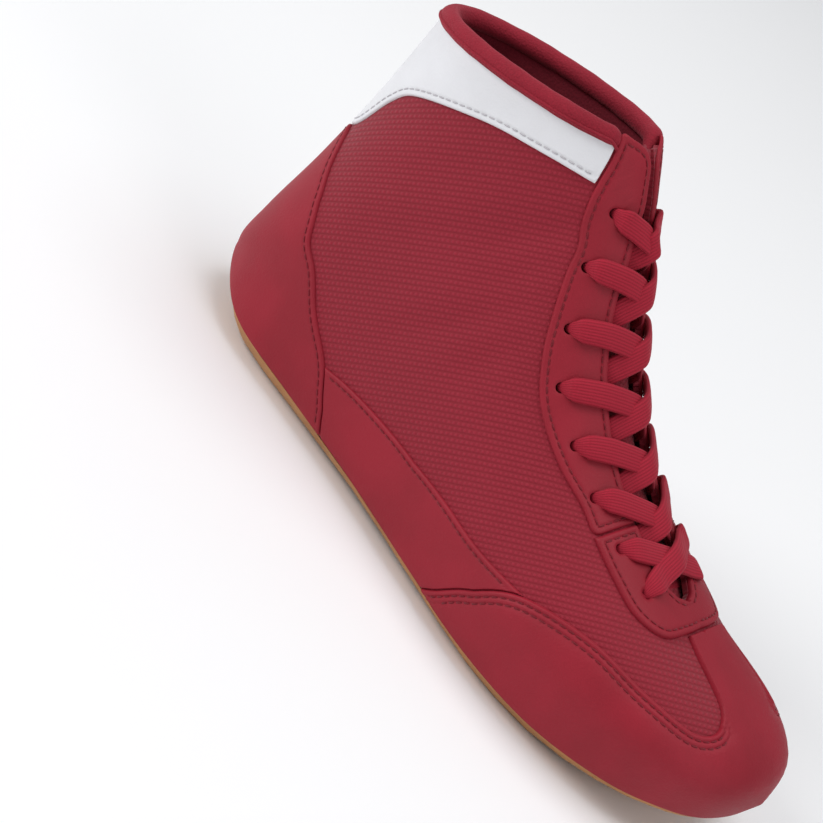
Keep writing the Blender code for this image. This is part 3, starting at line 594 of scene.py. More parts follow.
toeEdge = ((5.80, 0.095), (5.73, 0.198), (5.59, 0.375), (5.28, 0.512), (4.45, 0.625), (3.62, 0.665),
           (2.98, 0.708), (2.78, 0.780), (2.89, 0.855), (3.23, 0.910), (4.07, 0.945))
panelTop = ((8.08, 0.285), (7.60, 0.330), (7.09, 0.390), (6.53, 0.436), (5.93, 0.468), (5.40, 0.490))
counterEdge = ((7.50, 0.085), (7.60, 0.142), (7.78, 0.200), (8.19, 0.263), (8.82, 0.297), (9.90, 0.328),
               (11.14, 0.334), (12.07, 0.287), (12.70, 0.223), (13.38, 0.118), (13.43, 0))
bandEdge = ((13.46, 0), (13.50, 0.130), (13.88, 0.188), (14.06, 0.235), (14.10, 0.350), (14.00, 0.468),
            (13.70, 0.595), (13.34, 0.690), (12.92, 0.768))
stayEdge = ((15.45, 0.805), (13.93, 0.784), (12.72, 0.776), (10.57, 0.780), (9.34, 0.753), (8.40, 0.725),
            (7.83, 0.703), (7.32, 0.693), (6.87, 0.703), (6.46, 0.723), (6.02, 0.755), (5.63, 0.765))
baseEdge = ((5.61, 0.765), (5.01, 0.777), (4.53, 0.792), (4.17, 0.850), (4.10, 0.945), (4.10, 1.0))


def smooth(edge, per=10):
    edge = np.array(edge, float)
    k = np.linspace(0, len(edge) - 1, (len(edge) - 1) * per + 1)
    return np.stack([lane(edge[:, c], k) for c in range(2)], -1)


def straight(start, end, count=30):
    return np.linspace(start, end, count)


def featherRun(start, end, count=160):
    t = np.linspace(start, end, count)
    return np.stack([t, featherW(np.clip(t, 0, last["backT"]))], -1)


def throatRun(start, end, side, inset, count=160):
    t = np.linspace(start, end, count)
    return np.stack([t, throatW(t, side) - inset], -1)


def spaced(run, side, step):
    length = runLength(onLast(run, side))
    count = max(int(math.ceil(length[-1] / step)), 1)
    return readAlong(np.linspace(0, length[-1], count + 1), length, run)


def insideOutline(points, outline, batch=2000):
    a, b = outline, np.roll(outline, -1, axis=0)
    rise = np.where(np.abs(b[:, 1] - a[:, 1]) < 1e-12, 1e-12, b[:, 1] - a[:, 1])
    inside = np.zeros(len(points), bool)
    for k in range(0, len(points), batch):
        px, py = points[k : k + batch, :1], points[k : k + batch, 1:]
        crosses = (a[:, 1] > py) != (b[:, 1] > py)
        hit = a[:, 0] + (py - a[:, 1]) / rise * (b[:, 0] - a[:, 0])
        inside[k : k + batch] = (crosses & (px < hit)).sum(1) % 2 == 1
    return inside


def treeOf(points):
    tree = kdtree.KDTree(max(len(points), 1))
    for i, p in enumerate(points):
        tree.insert(p, i)
    tree.balance()
    return tree


def gaps(tree, points):
    return np.array([tree.find(p)[2] for p in points])


# change of place along the last and up it, for a small step in the chart
def slopes(t, w, side, e=0.01):
    along = (lastPoint(t + e, w, side) - lastPoint(t - e, w, side)) / (2 * e)
    up = (lastPoint(t, w + e, side) - lastPoint(t, w - e, side)) / (2 * e)
    return along, up


# chart steps that move outline points a distance inwards along the surface
def insetStep(chart, tangent, side):
    t, w = chart.T
    along, up = slopes(t, w, side)
    inward = np.cross(lastNormal(t, w, side), tangent) * side
    aa, ab, bb = ((p * q).sum(1) for p, q in ((along, along), (along, up), (up, up)))
    da, db = (along * inward).sum(1), (up * inward).sum(1)
    det = np.maximum(aa * bb - ab**2, 1e-6)
    return np.stack([(da * bb - db * ab) / det, (db * aa - da * ab) / det], -1)


# nearly flat map of a panel in mm: run along the last, and height at that place
def flatMap(outline, side, margin=0.05):
    t = np.linspace(outline[:, 0].min() - margin, outline[:, 0].max() + margin, 200)
    speed, tall = (np.linalg.norm(s, axis=1) for s in slopes(t, outline[:, 1].mean(), side))
    run = np.concatenate([[0], np.cumsum((speed[1:] + speed[:-1]) / 2 * np.diff(t))])

    def lay(chart):
        return np.stack([np.interp(chart[:, 0], t, run), chart[:, 1] * np.interp(chart[:, 0], t, tall)], -1)

    def lift(flat):
        place = np.interp(flat[:, 0], run, t)
        return np.stack([place, flat[:, 1] / np.interp(place, t, tall)], -1)

    return lay, lift


# rounds each corner between two sewn edges
def roundCorners(outline, kinds, starts):
    made = outline.copy()
    count = len(outline)
    for i, reach in starts:
        if reach == 0 or kinds[i] != "sewn" or kinds[i - 1] != "sewn":
            continue
        for k in range(-reach, reach + 1):
            u = (k + reach) / (2 * reach)
            a, b = outline[(i - reach) % count], outline[(i + reach) % count]
            made[(i + k) % count] = (1 - u) ** 2 * a + 2 * u * (1 - u) * outline[i] + u**2 * b
    return made


# outline points moved inwards by a distance measured along the surface
def movedIn(outline, place, step, inset, side):
    reach = np.full(len(outline), float(inset))
    for _ in range(3):
        spots = outline + step * reach[:, None]
        far = np.linalg.norm(onLast(spots, side) - place, axis=1)
        reach = reach * np.clip(inset / np.maximum(far, 1e-6), 0.5, 2)
    return outline + step * reach[:, None]


def edgeHeight(distance, form):
    height = form["lip"] + (form["thick"] - form["lip"]) * rounded(distance / form["round"])
    for place, depth, width in form["lines"]:
        height = height - depth * np.exp(-(((distance - place) / width) ** 2))
    return height


def edgeTree(place, kinds, wanted):
    ends = zip(place, np.roll(place, -1, axis=0), kinds)
    spots = [p + (q - p) * k for p, q, kind in ends if kind in wanted for k in (0, 0.25, 0.5, 0.75, 1)]
    return treeOf(spots) if spots else None


# evenly spaced outline of a panel's half, running anticlockwise in the chart
def panelOutline(side, runs):
    outline, kinds, starts = [], [], []
    for run, kind, corner in runs:
        starts.append((len(outline), corner))
        for spot in spaced(np.asarray(run, float), side, panelGrid["step"])[:-1]:
            outline.append(spot)
            kinds.append(kind)
    outline, kinds = np.array(outline), np.array(kinds)
    outline = roundCorners(outline, kinds, starts)
    x, y = outline.T
    if (x * np.roll(y, -1) - y * np.roll(x, -1)).sum() < 0:
        outline, kinds = outline[::-1], np.roll(kinds[::-1], -1)
    place = onLast(outline, side)
    apart = np.linalg.norm(place - np.roll(place, 1, axis=0), axis=1) > panelGrid["closest"]
    return outline[apart], kinds[apart], place[apart]


def innerPoints(outline, lay, lift):
    step = panelGrid["inner"]
    flat = lay(outline)
    low, high = flat.min(0), flat.max(0)
    columns = np.arange(low[0], high[0], step)
    levels = np.arange(low[1], high[1], step * panelGrid["rowShare"])
    spots = np.array([(a + (k % 2) * 0.5 * step, b) for k, b in enumerate(levels) for a in columns])
    return lift(spots[insideOutline(spots, flat)])


# rings of points round a lace hole
def holeRings(a, b, side):
    spot = np.array([[a, b]])
    axis = lastNormal(a, b, side)
    first = unit(np.cross(axis, (1, 0, 0)))
    rings = []
    for more in holeForm["rings"]:
        for k in range(holeForm["points"]):
            turn = 2 * math.pi * k / holeForm["points"]
            spoke = first * math.cos(turn) + np.cross(axis, first) * math.sin(turn)
            ahead = np.cross(spoke, axis)[None] * side  # its inset direction is the spoke
            rings.append((spot + insetStep(spot, ahead, side) * (holeForm["radius"] + more))[0])
    return rings


# one side of a panel: loops of points beside the edges, a plain grid inside them, rings round the holes
def panelHalf(side, runs, form, holes):
    grid, radius = panelGrid, holeForm["radius"]
    outline, kinds, place = panelOutline(side, runs)
    count = len(outline)
    tangent = unit(np.roll(place, -1, axis=0) - np.roll(place, 1, axis=0))
    step = insetStep(outline, tangent, side)
    anyEdge, sewnEdge = edgeTree(place, kinds, ("sewn", "cut")), edgeTree(place, kinds, ("sewn",))

    def movedClear(inset, share):
        spots = movedIn(outline, place, step, inset, side)
        far = gaps(anyEdge, onLast(spots, side)) > inset * share
        return spots, far & insideOutline(spots, outline)

    worked = (kinds != "join") & (np.roll(kinds, 1) != "join")
    extra, tags, paths = [], [], {}
    for level, inset in enumerate(grid["insets"]):
        spots, good = movedClear(inset, grid["insetShare"])
        kept = np.where(worked & good)[0]
        extra.append(spots[kept])
        tags += [(level, int(i)) for i in kept]
    for inset, _, _ in form["lines"]:
        spots, good = movedClear(inset, grid["lineShare"])
        paths[inset] = (spots, good & (kinds == "sewn"))
    lay, lift = flatMap(outline, side)
    inner = innerPoints(outline, lay, lift)
    inner = inner[gaps(anyEdge, onLast(inner, side)) > grid["insets"][-1] + grid["innerClear"]]
    extra = np.concatenate(extra + [inner])
    tags += [None] * len(inner)
    centres = [lastPoint(a, b, side) for a, b in holes]
    rings = []
    for (a, b), centre in zip(holes, centres):
        clear = np.linalg.norm(onLast(extra, side) - centre, axis=1) > radius + holeForm["clear"]
        extra, tags = extra[clear], [tag for tag, keep in zip(tags, clear) if keep]
        rings += holeRings(a, b, side)
    known = {tag: count + i for i, tag in enumerate(tags) if tag}
    follows = {tag: (tag[0], (tag[1] + 1) % count) for tag in known}
    links = [(i, known[follows[tag]]) for tag, i in known.items() if follows[tag] in known]
    if rings:
        first, turn = count + len(extra), holeForm["points"]
        links += [(first + i, first + i // turn * turn + (i + 1) % turn) for i in range(len(rings))]
        extra = np.concatenate([extra, rings])
    every = np.concatenate([outline, extra])
    found = delaunay_2d_cdt([tuple(p) for p in lay(every)], links, [list(range(count))], 1, 1e-4)
    crossed = lift(np.array([tuple(p) for p in found[0]]))  # for points made where two links cross
    chart = np.array([every[origin[0]] if origin else spot for origin, spot in zip(found[3], crossed)])
    faces = [list(f) for f in found[2]]
    place = onLast(chart, side)
    height = form["lip"] + (form["thick"] - form["lip"]) * rounded(gaps(anyEdge, place) / grid["cutRound"])
    if sewnEdge:
        height = np.minimum(height, edgeHeight(gaps(sewnEdge, place), form))
    for centre in centres:
        away = np.linalg.norm(place - centre, axis=1)
        faces = [f for f in faces if (away[f] > radius + holeForm["slack"]).any()]
        beside = np.maximum(away - radius, 0) / holeForm["dishWidth"]
        height = height - holeForm["dish"] * np.exp(-(beside**2))
    return chart, [f if side > 0 else f[::-1] for f in faces], height, paths


# separate stitches along a pressed line
def stitchRow(path, out):
    form, sides = stitchForm, stitchForm["sides"]
    length = runLength(path)
    places, fat, lift = np.array(form["rings"]).T
    points, faces = [], []
    count = int(length[-1] / form["pitch"])
    for k in range(count):
        middle = (k + 0.5) * length[-1] / count
        line = readAlong(middle + places, length, path)
        axis = unit(line[-1] - line[0])
        up = readAlong(middle, length, out)
        up = unit(up - axis * (up @ axis))
        flat = np.cross(axis, up)
        rings = [(circle(sides) * f + (0, s)) * form["radius"] for f, s in zip(fat, lift)]
        made, found = sweep(line, [flat] * len(line), [up] * len(line), rings)
        faces += [[len(points) + i for i in f] for f in found]
        points += list(made)
    return points, faces


def makePanel(name, nodeName, halves, edge, holes=(), slot="red_smooth", finish=redLeather, thread=redThreadWithPaintedShade):
    form = edgeForms[edge]
    made, threads, threadFaces = [], [], []
    for side, runs in halves.items():
        chart, faces, height, paths = panelHalf(side, joined(*runs), form, holes)
        t, w = chart.T
        made.append((side, skin(t, w, side, height), skin(t, w, side, panelGrid["under"]), faces))
        for inset, (spots, good) in paths.items():
            level = float(edgeHeight(np.array(inset), form) + stitchForm["radius"] * stitchForm["raise"])
            rows = np.split(np.arange(len(spots)), np.where(np.diff(good.astype(int)) != 0)[0] + 1)
            for row in (r for r in rows if good[r[0]] and len(r) >= stitchForm["leastPoints"]):
                t, w = spots[row].T
                points, found = stitchRow(skin(t, w, side, level), lastNormal(t, w, side))
                threadFaces += [[len(threads) + i for i in f] for f in found]
                threads += points
    settle(addShell(name, made, [finish]), slot, nodeName)
    if threads:
        settle(addPiece(name + "Stitches", np.array(threads), threadFaces, [thread], sharp=80), slot)


# runs of an outline: chart points, kind of edge and how many points round the corner before it
def joined(*runs):
    return [(np.asarray(run[0], float), run[1], run[2] if len(run) > 2 else 0) for run in runs]


panelEnds = {
    "seam": 0.012,  # chart gap between side panel and its neighbours
    "spineWider": 0.08, "spineFrom": 70, "spineOver": 20, "spineSewn": 77,  # points of the smooth toe edge
    "sidePoints": 31,  # points of the toe and counter edges beside the side panel
    "heelFrom": 0.3, "heelW": 0.05, "heelUp": 0.09,  # where the counter's lower edge turns up behind the heel
    "stayTop": 14.98, "stayInset": 0.004, "baseInset": 0.003, "throatFrom": 4.5,
    "rimGap": 0.004, "stayGap": 0.008, "bandTrim": 0.05,
    "stayHoles": 6,  # pairs of holes in the eyestays, the rest are in the lace base
}


def footOf(t, shift=0.0):
    return t + shift, float(featherW(t))


def throatSpot(t, side, inset):
    return t, float(throatW(t, side)) - inset


def toeHalf(edge, side):
    ends, count = panelEnds, len(edge)
    wider = ends["spineWider"] * np.clip((np.arange(count) - ends["spineFrom"]) / ends["spineOver"], 0, 1)
    if side == medial:  # the spine up the vamp is wider on the inner side
        edge = edge - np.stack([np.zeros(count), wider], -1)
    foot, top, sewn = toeEdge[0][0], (toeEdge[-1][0], 1), ends["spineSewn"]
    return (
        (featherRun(0, foot), "cut"), (straight(footOf(foot), edge[0]), "sewn"),
        (edge[:sewn], "sewn"), (edge[sewn - 1 :], "cut"), (straight(edge[-1], top), "cut"),
        (straight(top, (0, 1), 160), "join"), (straight((0, 1), footOf(0), 60), "join"),
    )


def counterHalf(edge):
    ends, back, foot = panelEnds, last["backT"], counterEdge[0][0]
    turn, low, rear = back - ends["heelFrom"], (back, ends["heelW"]), (back + ends["heelUp"], 0)
    return (
        (featherRun(foot, turn), "cut"), (straight(footOf(turn), low), "cut"), (straight(low, rear), "cut"),
        (straight(rear, edge[-1], 60), "join"), (edge[::-1], "sewn"), (straight(edge[0], footOf(foot)), "sewn"),
    )


def sideHalf(toe, counter):
    seam, count = panelEnds["seam"], panelEnds["sidePoints"]
    front, rear = toe[:count] + (seam, 0), counter[:count] - (seam, 0)
    frontFoot, rearFoot = footOf(toeEdge[0][0], seam), footOf(counterEdge[0][0], -seam)
    return (
        (featherRun(frontFoot[0], rearFoot[0]), "cut"), (straight(rearFoot, rear[0]), "cut"), (rear, "cut"),
        (smooth((rear[-1], *panelTop[1:-1], front[-1])), "sewn"), (front[::-1], "cut"),
        (straight(front[0], frontFoot), "cut"),
    )


def stayHalf(edge, side):
    low, top, inset = edge[-1], panelEnds["stayTop"], panelEnds["stayInset"]
    return (
        (edge, "sewn", 2), (straight(low, throatSpot(low[0], side, inset)), "sewn", 3),
        (throatRun(low[0], top, side, inset), "sewn", 1),
        (straight(throatSpot(top, side, inset), edge[0]), "sewn", 7),
    )


def baseHalf(edge, side):
    low, start, inset = edge[0], panelEnds["throatFrom"], panelEnds["baseInset"]
    return (
        (edge, "sewn"), (straight(baseEdge[-1], (start, 1), 40), "join"),
        (throatRun(start, low[0], side, inset), "sewn"),
        (straight(throatSpot(low[0], side, inset), low), "sewn", 1),
    )


def bandHalf(edge, side):
    trim = panelEnds["bandTrim"]
    w = np.linspace(0, upperForm["rollEndW"], 60)
    rim = np.stack([rimT(w, side) - panelEnds["rimGap"], w], -1)
    front = smooth(np.array(stayEdge[:3]) - (0, panelEnds["stayGap"]))
    front = front[(front[:, 0] < rim[-1, 0] - trim) & (front[:, 0] > edge[-1][0] + trim)]
    return (
        (straight(edge[0], (rim[0, 0], 0), 40), "join"), (rim, "cut"),
        (np.concatenate([rim[-1:], front, edge[-1:]]), "cut"), (edge[::-1], "sewn"),
    )


def makePanels():
    toe, counter, stay, base, band = (smooth(e) for e in (toeEdge, counterEdge, stayEdge, baseEdge, bandEdge))
    both, split = (lateral, medial), panelEnds["stayHoles"]
    makePanel("toeOverlay", "toe_overlay", {side: toeHalf(toe, side) for side in both}, "toe")
    makePanel("heelCounter", "heel_counter", {side: counterHalf(counter) for side in both}, "counter")
    for name, side in sideNames.items():
        makePanel("sidePanel." + name, "side_panel_" + name, {side: sideHalf(toe, counter)}, "side")
        makePanel("eyestay." + name, "eyestay_" + name, {side: stayHalf(stay, side)}, "stay", laceHoles[:split])
    makePanel("laceBase", "lace_base", {side: baseHalf(base, side) for side in both}, "base", laceHoles[split:])
    makePanel("collarBand", "collar_band", {side: bandHalf(band, side) for side in both}, "band",
              slot="white_smooth", finish=whiteLeather, thread=whiteThread)


makePanels()
print("panels made")


# padded tongue under the throat
tongueForm = {
    "top": -3.8, "thick": 2.5, "fromT": 4.0, "toT": 15.0, "rows": 150, "columns": 26, "puff": 0.5, "fill": 0.5,
    "endMm": (12, 8), "sideMm": 22, "edgeRound": 1.6, "thinnest": 0.12,  # about mm per chart step at ends and sides
    "quilt": (3, 0.4), "sharp": 60,
}


def makeTongue():
    form, half = tongueForm, tongueForm["thick"] / 2
    rows = np.linspace(form["fromT"], form["toT"], form["rows"])
    share = np.linspace(0, 1, form["columns"])
    lap = np.interp(rows, throatTable[:, 0], throatTable[:, 2])
    t = np.repeat(rows[:, None], form["columns"], 1)
    hem = np.minimum((t - form["fromT"]) * form["endMm"][0], (form["toT"] - t) * form["endMm"][1])
    full = rounded(np.minimum(hem, share * form["sideMm"]) / form["edgeRound"])
    full = np.maximum(full, form["thinnest"])
    swell = form["puff"] * (np.clip(share * form["quilt"][0] - form["quilt"][1], 0, 1) - 1)
    halves = []
    for side in (lateral, medial):
        low = wAtWidth(rows, throatGap(rows) + lap, side)[:, None]
        w = low + (1 - low) * share
        outer, inner = (skin(t, w, side, form["top"] - half + height).reshape(-1, 3)
                        for height in ((half + swell) * full, -half * full))
        halves.append((side, outer, inner, gridFaces(form["rows"], form["columns"], side > 0)))
    obj = settle(addShell("tonguePad", halves, [redCloth, redLining], form["sharp"]), "red_fabric", "tongue")


# padded roll round the rim, with a thin piping on its outer side
rollForm = {
    "radius": 3.6, "rings": 240, "sides": 24, "inset": 1.0, "fill": 0.8,
    # its ends tuck in behind the eyestays
    "endW": 0.90, "tuckW": 0.750, "tuckRate": 1.5, "tuck": 3.2, "dip": 0.55, "thinner": 0.5,
    "capLength": 3.0, "capLeast": 0.2, "waves": ((0.018, 23.0), (0.012, 9.7)),  # share of the radius, length in mm
    "piping": 0.65, "pipingTurn": 20, "pipingDrop": 1.05,
}


def makeRoll():
    form, radius = rollForm, rollForm["radius"]
    half = np.linspace(form["endW"], 0, form["rings"] // 2)
    w = np.concatenate([half, half[::-1][1:]])
    side = np.concatenate([np.full(len(half), lateral), np.full(len(half) - 1, medial)])
    tuck = np.clip((w - form["tuckW"]) / (form["endW"] - form["tuckW"]), 0, 1)
    tuck = ease(np.clip(tuck * form["tuckRate"], 0, 1))
    t = last["topT"] - form["dip"] * tuck
    out = lastNormal(t, w, side)
    path = lastPoint(t, w, side) - out * (form["inset"] + form["tuck"] * tuck)[:, None]
    along = unit(np.gradient(path, axis=0))
    out = unit(out - along * (out * along).sum(1)[:, None])
    up = np.cross(out, along)
    length = runLength(path)
    cap = rounded(np.minimum(length, length[-1] - length) / form["capLength"])
    wave = 1 + sum(share * np.sin(length * 2 * math.pi / run) for share, run in form["waves"])
    sizes = radius * np.maximum(cap, form["capLeast"]) * wave * (1 - form["thinner"] * tuck)
    points, faces = sweep(path, out, up, [circle(form["sides"]) * size for size in sizes])
    obj = settle(addPiece("collarRoll", points, faces, [redRoll], sharp=70), "red_binding", "collar_binding")
    up = up if up[0, 2] >= 0 else -up
    turn = math.radians(form["pipingTurn"])
    line = path + out * radius * math.cos(turn) - up * radius * math.sin(turn) * form["pipingDrop"]
    points, faces = sweep(line, out, up, [circle(form["sides"] // 3) * form["piping"]] * len(line))
    settle(addPiece("collarPiping", points, faces, [redRoll], sharp=80), "red_binding")


makeTongue()
makeRoll()
print("tongue and roll made")


# lace: one strip from the top hole on the outer side down through every hole and back up
laceForm = {
    "width": 9.2, "narrow": 3.8, "thick": 2.4, "plump": 0.35, "step": 0.8, "points": 20, "corner": (0.75, 0.8),
    "aside": 0.005, "over": 2.55, "under": -2.85, "inHole": -0.6, "bulge": 0.7, "cross": 1.9, "crossUnder": -0.2,
    "rise": (0.018, 1.9, 0.5),  # chart step from the hole, height, share of the full width
    "bend": (0.038, 0.9),  # chart step from the hole, share of the full width
    "edgeW": 0.01, "edgeLift": 0.3, "lowestLift": 0.2,
    "tuckIn": 3.0, "tuckShare": 0.1, "tuckHeight": -0.2, "hideW": 0.03, "hideWidth": 0.9,
    "fine": 24, "evenOut": 6, "ridge": (4.1, 14.9, 80),
}


# up through a hole and over to the edge of the throat, heading for the place otherT
def fromHole(hole, otherT, side, total, edgeLift):
    form, (t0, w0) = laceForm, hole
    spots = [skin(t0, w0 + form["aside"], side, form[height]) for height in ("under", "inHole")]
    widths = [form["narrow"]] * 2
    rise, riseHeight, riseWidth = form["rise"]
    bend, bendWidth = form["bend"]
    steps = (
        (w0 + rise, riseHeight, riseWidth), (w0 + bend, form["over"] + form["bulge"], bendWidth),
        (float(throatW(t0, side)) - form["edgeW"], form["over"] + edgeLift, 1.0),
    )
    for w, height, wide in steps:
        spots.append(skin(t0 + (otherT - t0) * (w - w0) / total, w, side, height))
        widths.append(form["narrow"] + (form["width"] - form["narrow"]) * wide)
    return spots, widths


def laceLeg(level, side, lift, lowest):
    form = laceForm
    (t0, w0), (t1, w1) = laceHoles[level], laceHoles[level + 1]
    far = float(throatW(t1, -side))
    total = (1 - w0) + (1 - (w1 if lowest else far))
    spots, widths = fromHole(laceHoles[level], t1, side, total, form["edgeLift"])
    t = t0 + (t1 - t0) * (1 - w0) / total
    spots.append(lastPoint(t, 1.0, side) + lastNormal(t, 1.0, side) * (form["over"] + lift))
    widths.append(form["width"])
    if lowest:
        more, sizes = fromHole(laceHoles[level + 1], t0, -side, total, form["lowestLift"])
        spots += more[::-1]
        widths += sizes[::-1]
    else:
        inner = float(wAtWidth(t1, throatGap(t1) - form["tuckIn"], -side))
        spots.append(skin(t1 + (t0 - t1) * form["tuckShare"], inner, -side, form["tuckHeight"]))
        spots.append(skin(t1, far - form["hideW"], -side, form["under"]))
        widths += [form["width"], form["width"] * form["hideWidth"]]
    return [np.asarray(s, float).reshape(3) for s in spots], widths


def makeLace():
    form = laceForm
    strands = []
    legs = len(laceHoles) - 1
    for side in (lateral, medial):
        spots, widths = [], []
        for level in range(legs):
            lift = form["cross"] if side == medial else form["crossUnder"]
            leg, sizes = laceLeg(level, side, lift, level == legs - 1)
            spots += leg
            widths += sizes
            side = -side
        strands.append((spots, widths))
    path, wide = (np.array(down + up[::-1]) for down, up in zip(*strands))
    k = np.linspace(0, len(path) - 1, len(path) * form["fine"])
    line = np.stack([lane(path[:, c], k) for c in range(3)], -1)
    length = runLength(line)
    even = np.linspace(0, length[-1], int(length[-1] / form["step"]))
    size = np.interp(even, length, np.interp(k, np.arange(len(wide)), wide))
    line = readAlong(even, length, line)
    along = unit(np.gradient(line, axis=0))
    # the strip's width lies along the last, square to the lace, and keeps its sense round each hole
    ridge = lastPoint(np.linspace(*form["ridge"]), 1.0, lateral)
    nearest = np.linalg.norm(line[:, None] - ridge, axis=-1).argmin(1)
    across = unit(np.gradient(ridge, axis=0))[nearest]
    across = unit(across - along * (across * along).sum(1)[:, None])
    for _ in range(form["evenOut"]):
        across = unit(across + np.roll(across, 1, axis=0) + np.roll(across, -1, axis=0))
        across = unit(across - along * (across * along).sum(1)[:, None])
    ring = circle(form["points"])
    ring = np.sign(ring) * np.abs(ring) ** form["corner"]
    plump = form["thick"] * (1 + form["plump"] * (form["width"] - size) / form["width"])
    rings = [ring * (s / 2, p / 2) for s, p in zip(size, plump)]
    points, faces = sweep(line, across, np.cross(along, across), rings)
    girth = ring[:, 0] * form["width"] / 2
    fit = [(girth[i % form["points"]], even[i // form["points"]]) for f in faces for i in f]
    settle(addPiece("laceStrip", points, faces, [redLace], uv=fit, sharp=80), "red_lace", "lace")


makeLace()
print("lace made")


# outsole: its own solid with curved ribs and a groove cut into the underside
treadForm = {
    "pitch": 3.4, "rib": 1.5, "slope": 0.3, "depth": 0.5, "bow": 0.0045, "strip": 4.0, "facing": -0.8,
    "groove": (4.4, 4.8, 5.6, 6.0), "grooveDepth": 0.7, "ribsFrom": 7.4, "padRoom": 0.6, "padRim": 0.3,
    "rimSteps": 8, "sideRoom": 2, "toeRoom": 10, "sharp": 35,
}
padNames = ("grip_pad_toe", "grip_pad_ball", "grip_pad_side")


# cuts faces along lines where a value of their points stays the same
def cutLines(solid, faces, value, levels, spot):
    for v in solid.verts:
        v[spot] = v.co
        v.co = (value(v.co), v.co.x, v.co.y)
    left = faces
    for level in levels:
        edges = dict.fromkeys(e for f in left for e in f.edges)
        verts = dict.fromkeys(v for f in left for v in f.verts)
        made = bmesh.ops.bisect_plane(solid, geom=[*verts, *edges, *left], dist=1e-5,
                                      plane_co=(level, 0, 0), plane_no=(1, 0, 0))["geom"]
        left = [f for f in made if isinstance(f, bmesh.types.BMFace) and f.calc_center_median().x > level]
    for v in solid.verts:
        v.co = v[spot]


def makeTread():
    form = treadForm
    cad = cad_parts["outsole"]
    solid = bmesh.new()
    solid.from_mesh(cad.data)
    solid.transform(Matrix.Scale(1 / mm, 4) @ cad.matrix_world)
    bmesh.ops.remove_doubles(solid, verts=solid.verts[:], dist=1e-3)
    solid.normal_update()
    pads = []
    for name in padNames:
        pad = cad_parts[name]
        spots = np.array([tuple(pad.matrix_world @ v.co) for v in pad.data.vertices]) / mm
        pads.append((spots.min(0) + spots.max(0))[:2] / 2)
    padRadius = np.ptp(spots[:, 1]) / 2 + form["padRoom"]

    def offPad(p, pad):
        return math.hypot(p.x - pad[0], p.y - pad[1]) - padRadius

    def offPads(p):
        return min(offPad(p, pad) for pad in pads)

    under = solid.faces.layers.int.new("under")
    spot = solid.verts.layers.float_vector.new("spot")
    for f in solid.faces:
        inSeat = any(all(offPad(v.co, pad) < 0 for v in f.verts) for pad in pads)
        f[under] = f.normal.z < form["facing"] and not inSeat
    rim = []
    for e in solid.edges:
        ends = [v.co for v in e.verts]
        if sum(f[under] for f in e.link_faces) == 1 and max(offPads(c) for c in ends) > 0:
            rim += [ends[0].lerp(ends[1], k) for k in np.linspace(0, 1, form["rimSteps"] + 1)]
    rimTree = treeOf([(p.x, p.y, 0) for p in rim])

    def fromRim(p):
        return rimTree.find((p.x, p.y, 0))[2]

    def bowed(p):
        return p.x + form["bow"] * p.y**2

    half = last["ballWidth"] / 2 + form["sideRoom"]
    turns = np.cumsum((form["rib"], form["slope"], form["pitch"] - form["rib"] - 2 * form["slope"], form["slope"]))
    starts = np.arange(-last["length"] / 2, last["length"] / 2 + form["toeRoom"], form["pitch"])
    cuts = (
        (lambda p: p.y, np.arange(-half, half, form["strip"])),
        (bowed, (starts[:, None] + turns).ravel()),
        (fromRim, form["groove"] + (form["ribsFrom"],)),
    )
    for value, levels in cuts:
        cutLines(solid, [f for f in solid.faces if f[under]], value, levels, spot)
    depths = (0, form["grooveDepth"], form["grooveDepth"], 0)
    for v in solid.verts:
        if not all(f[under] for f in v.link_faces):
            continue
        away = fromRim(v.co)
        dip = np.interp(away, form["groove"], depths)
        if away > form["ribsFrom"] + 0.01 and offPads(v.co) > form["padRim"]:
            along = (bowed(v.co) - starts[0]) % form["pitch"]
            dip = form["depth"] * np.interp(along, turns, (0, 1, 1, 0))
        v.co.z += dip
    solid.transform(Matrix.Scale(mm, 4))
    mesh = bpy.data.meshes.new("outsoleTread")
    solid.to_mesh(mesh)
    solid.free()
    mesh.materials.clear()
    mesh.materials.append(gumRubber)
    mesh.polygons.foreach_set("use_smooth", [True] * len(mesh.polygons))
    mesh.set_sharp_from_angle(angle=math.radians(form["sharp"]))
    settle(addObject("outsoleTread", mesh), "gum_rubber", "outsole")


makeTread()
# insole and grip pads keep their solids
for name, finish in (("insole", darkFoam), *((pad, padRubber) for pad in padNames)):
    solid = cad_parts[name]
    solid.data.materials.clear()
    solid.data.materials.append(finish)
print("sole made")


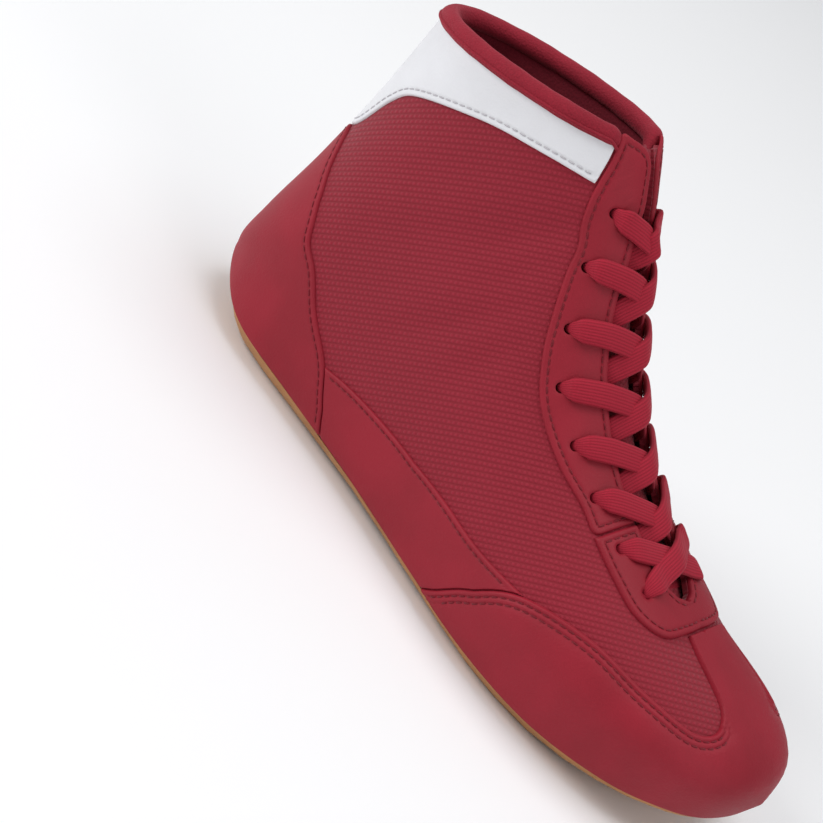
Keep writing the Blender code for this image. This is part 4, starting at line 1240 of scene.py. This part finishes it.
# floor, light and camera
studio = {
    "floorSize": 60.0, "floorColour": (0.95, 0.95, 0.955), "floorShade": 0.985,
    "world": (0.95, 0.97, 1.0), "worldStrength": 0.4, "lampAim": (0, 0, 0.07),
}
lamps = {  # place, size and power
    "keyLamp": ((-1.70, -1.35, 1.20), 1.2, 30.0),
    "topLamp": ((0.20, 0.10, 2.20), 1.8, 21.0),
    "toeLamp": ((1.70, -0.70, 1.10), 1.2, 7.0),
}
view = {
    "eye": (205.39, -686.43, 391.03), "lens": 98.838, "open": 0.985, "sensor": 36.0, "nearest": 0.01,
    "right": (0.608231, 0.534667, 0.586674), "up": (-0.732292, 0.092785, 0.674640),
    "back": (0.306273, -0.839954, 0.447967),
}


def turned(place, *axes):
    return Matrix.Translation(place) @ Matrix(np.stack(axes, 1).tolist()).to_4x4()


def makeStudio():
    mesh = bpy.data.meshes.new("studioFloor")
    r = studio["floorSize"] / 2
    mesh.from_pydata([(-r, -r, 0), (r, -r, 0), (r, r, 0), (-r, r, 0)], [], [(0, 1, 2, 3)])
    floor = addObject("studioFloor", mesh)
    finish, tree, shader = startFinish("paleFloor", {"Roughness": 0.7, "Specular IOR Level": 0.2})
    tone = studio["floorColour"]
    shaded = [c * studio["floorShade"] for c in tone]
    pale = blendColours(tree, noise(tree, objectPlace(tree), 3.0), shaded, tone)
    tree.links.new(pale, shader.inputs["Base Color"])
    mesh.materials.append(finish)
    world = bpy.data.worlds.new("studioWorld")
    world.use_nodes = True
    sky = world.node_tree.nodes["Background"]
    sky.inputs["Color"].default_value = (*studio["world"], 1)
    sky.inputs["Strength"].default_value = studio["worldStrength"]
    bpy.context.scene.world = world
    bpy.context.scene.view_settings.view_transform = "Standard"
    for name, (place, size, power) in lamps.items():
        light = bpy.data.lights.new(name, "AREA")
        light.shape = "DISK"
        light.size = size
        light.energy = power
        back = unit(np.array(place) - studio["lampAim"])
        right = unit(np.cross((0, 0, 1), back))
        addObject(name, light).matrix_world = turned(place, right, np.cross(back, right), back)
    camera = bpy.data.cameras.new("photoCamera")
    camera.sensor_width = view["sensor"]
    camera.lens = view["lens"] * view["open"]
    camera.clip_start = view["nearest"]
    holder = addObject("photoCamera", camera)
    holder.matrix_world = turned([v * mm for v in view["eye"]], view["right"], view["up"], view["back"])
    bpy.context.scene.camera = holder


makeStudio()
print("studio made")
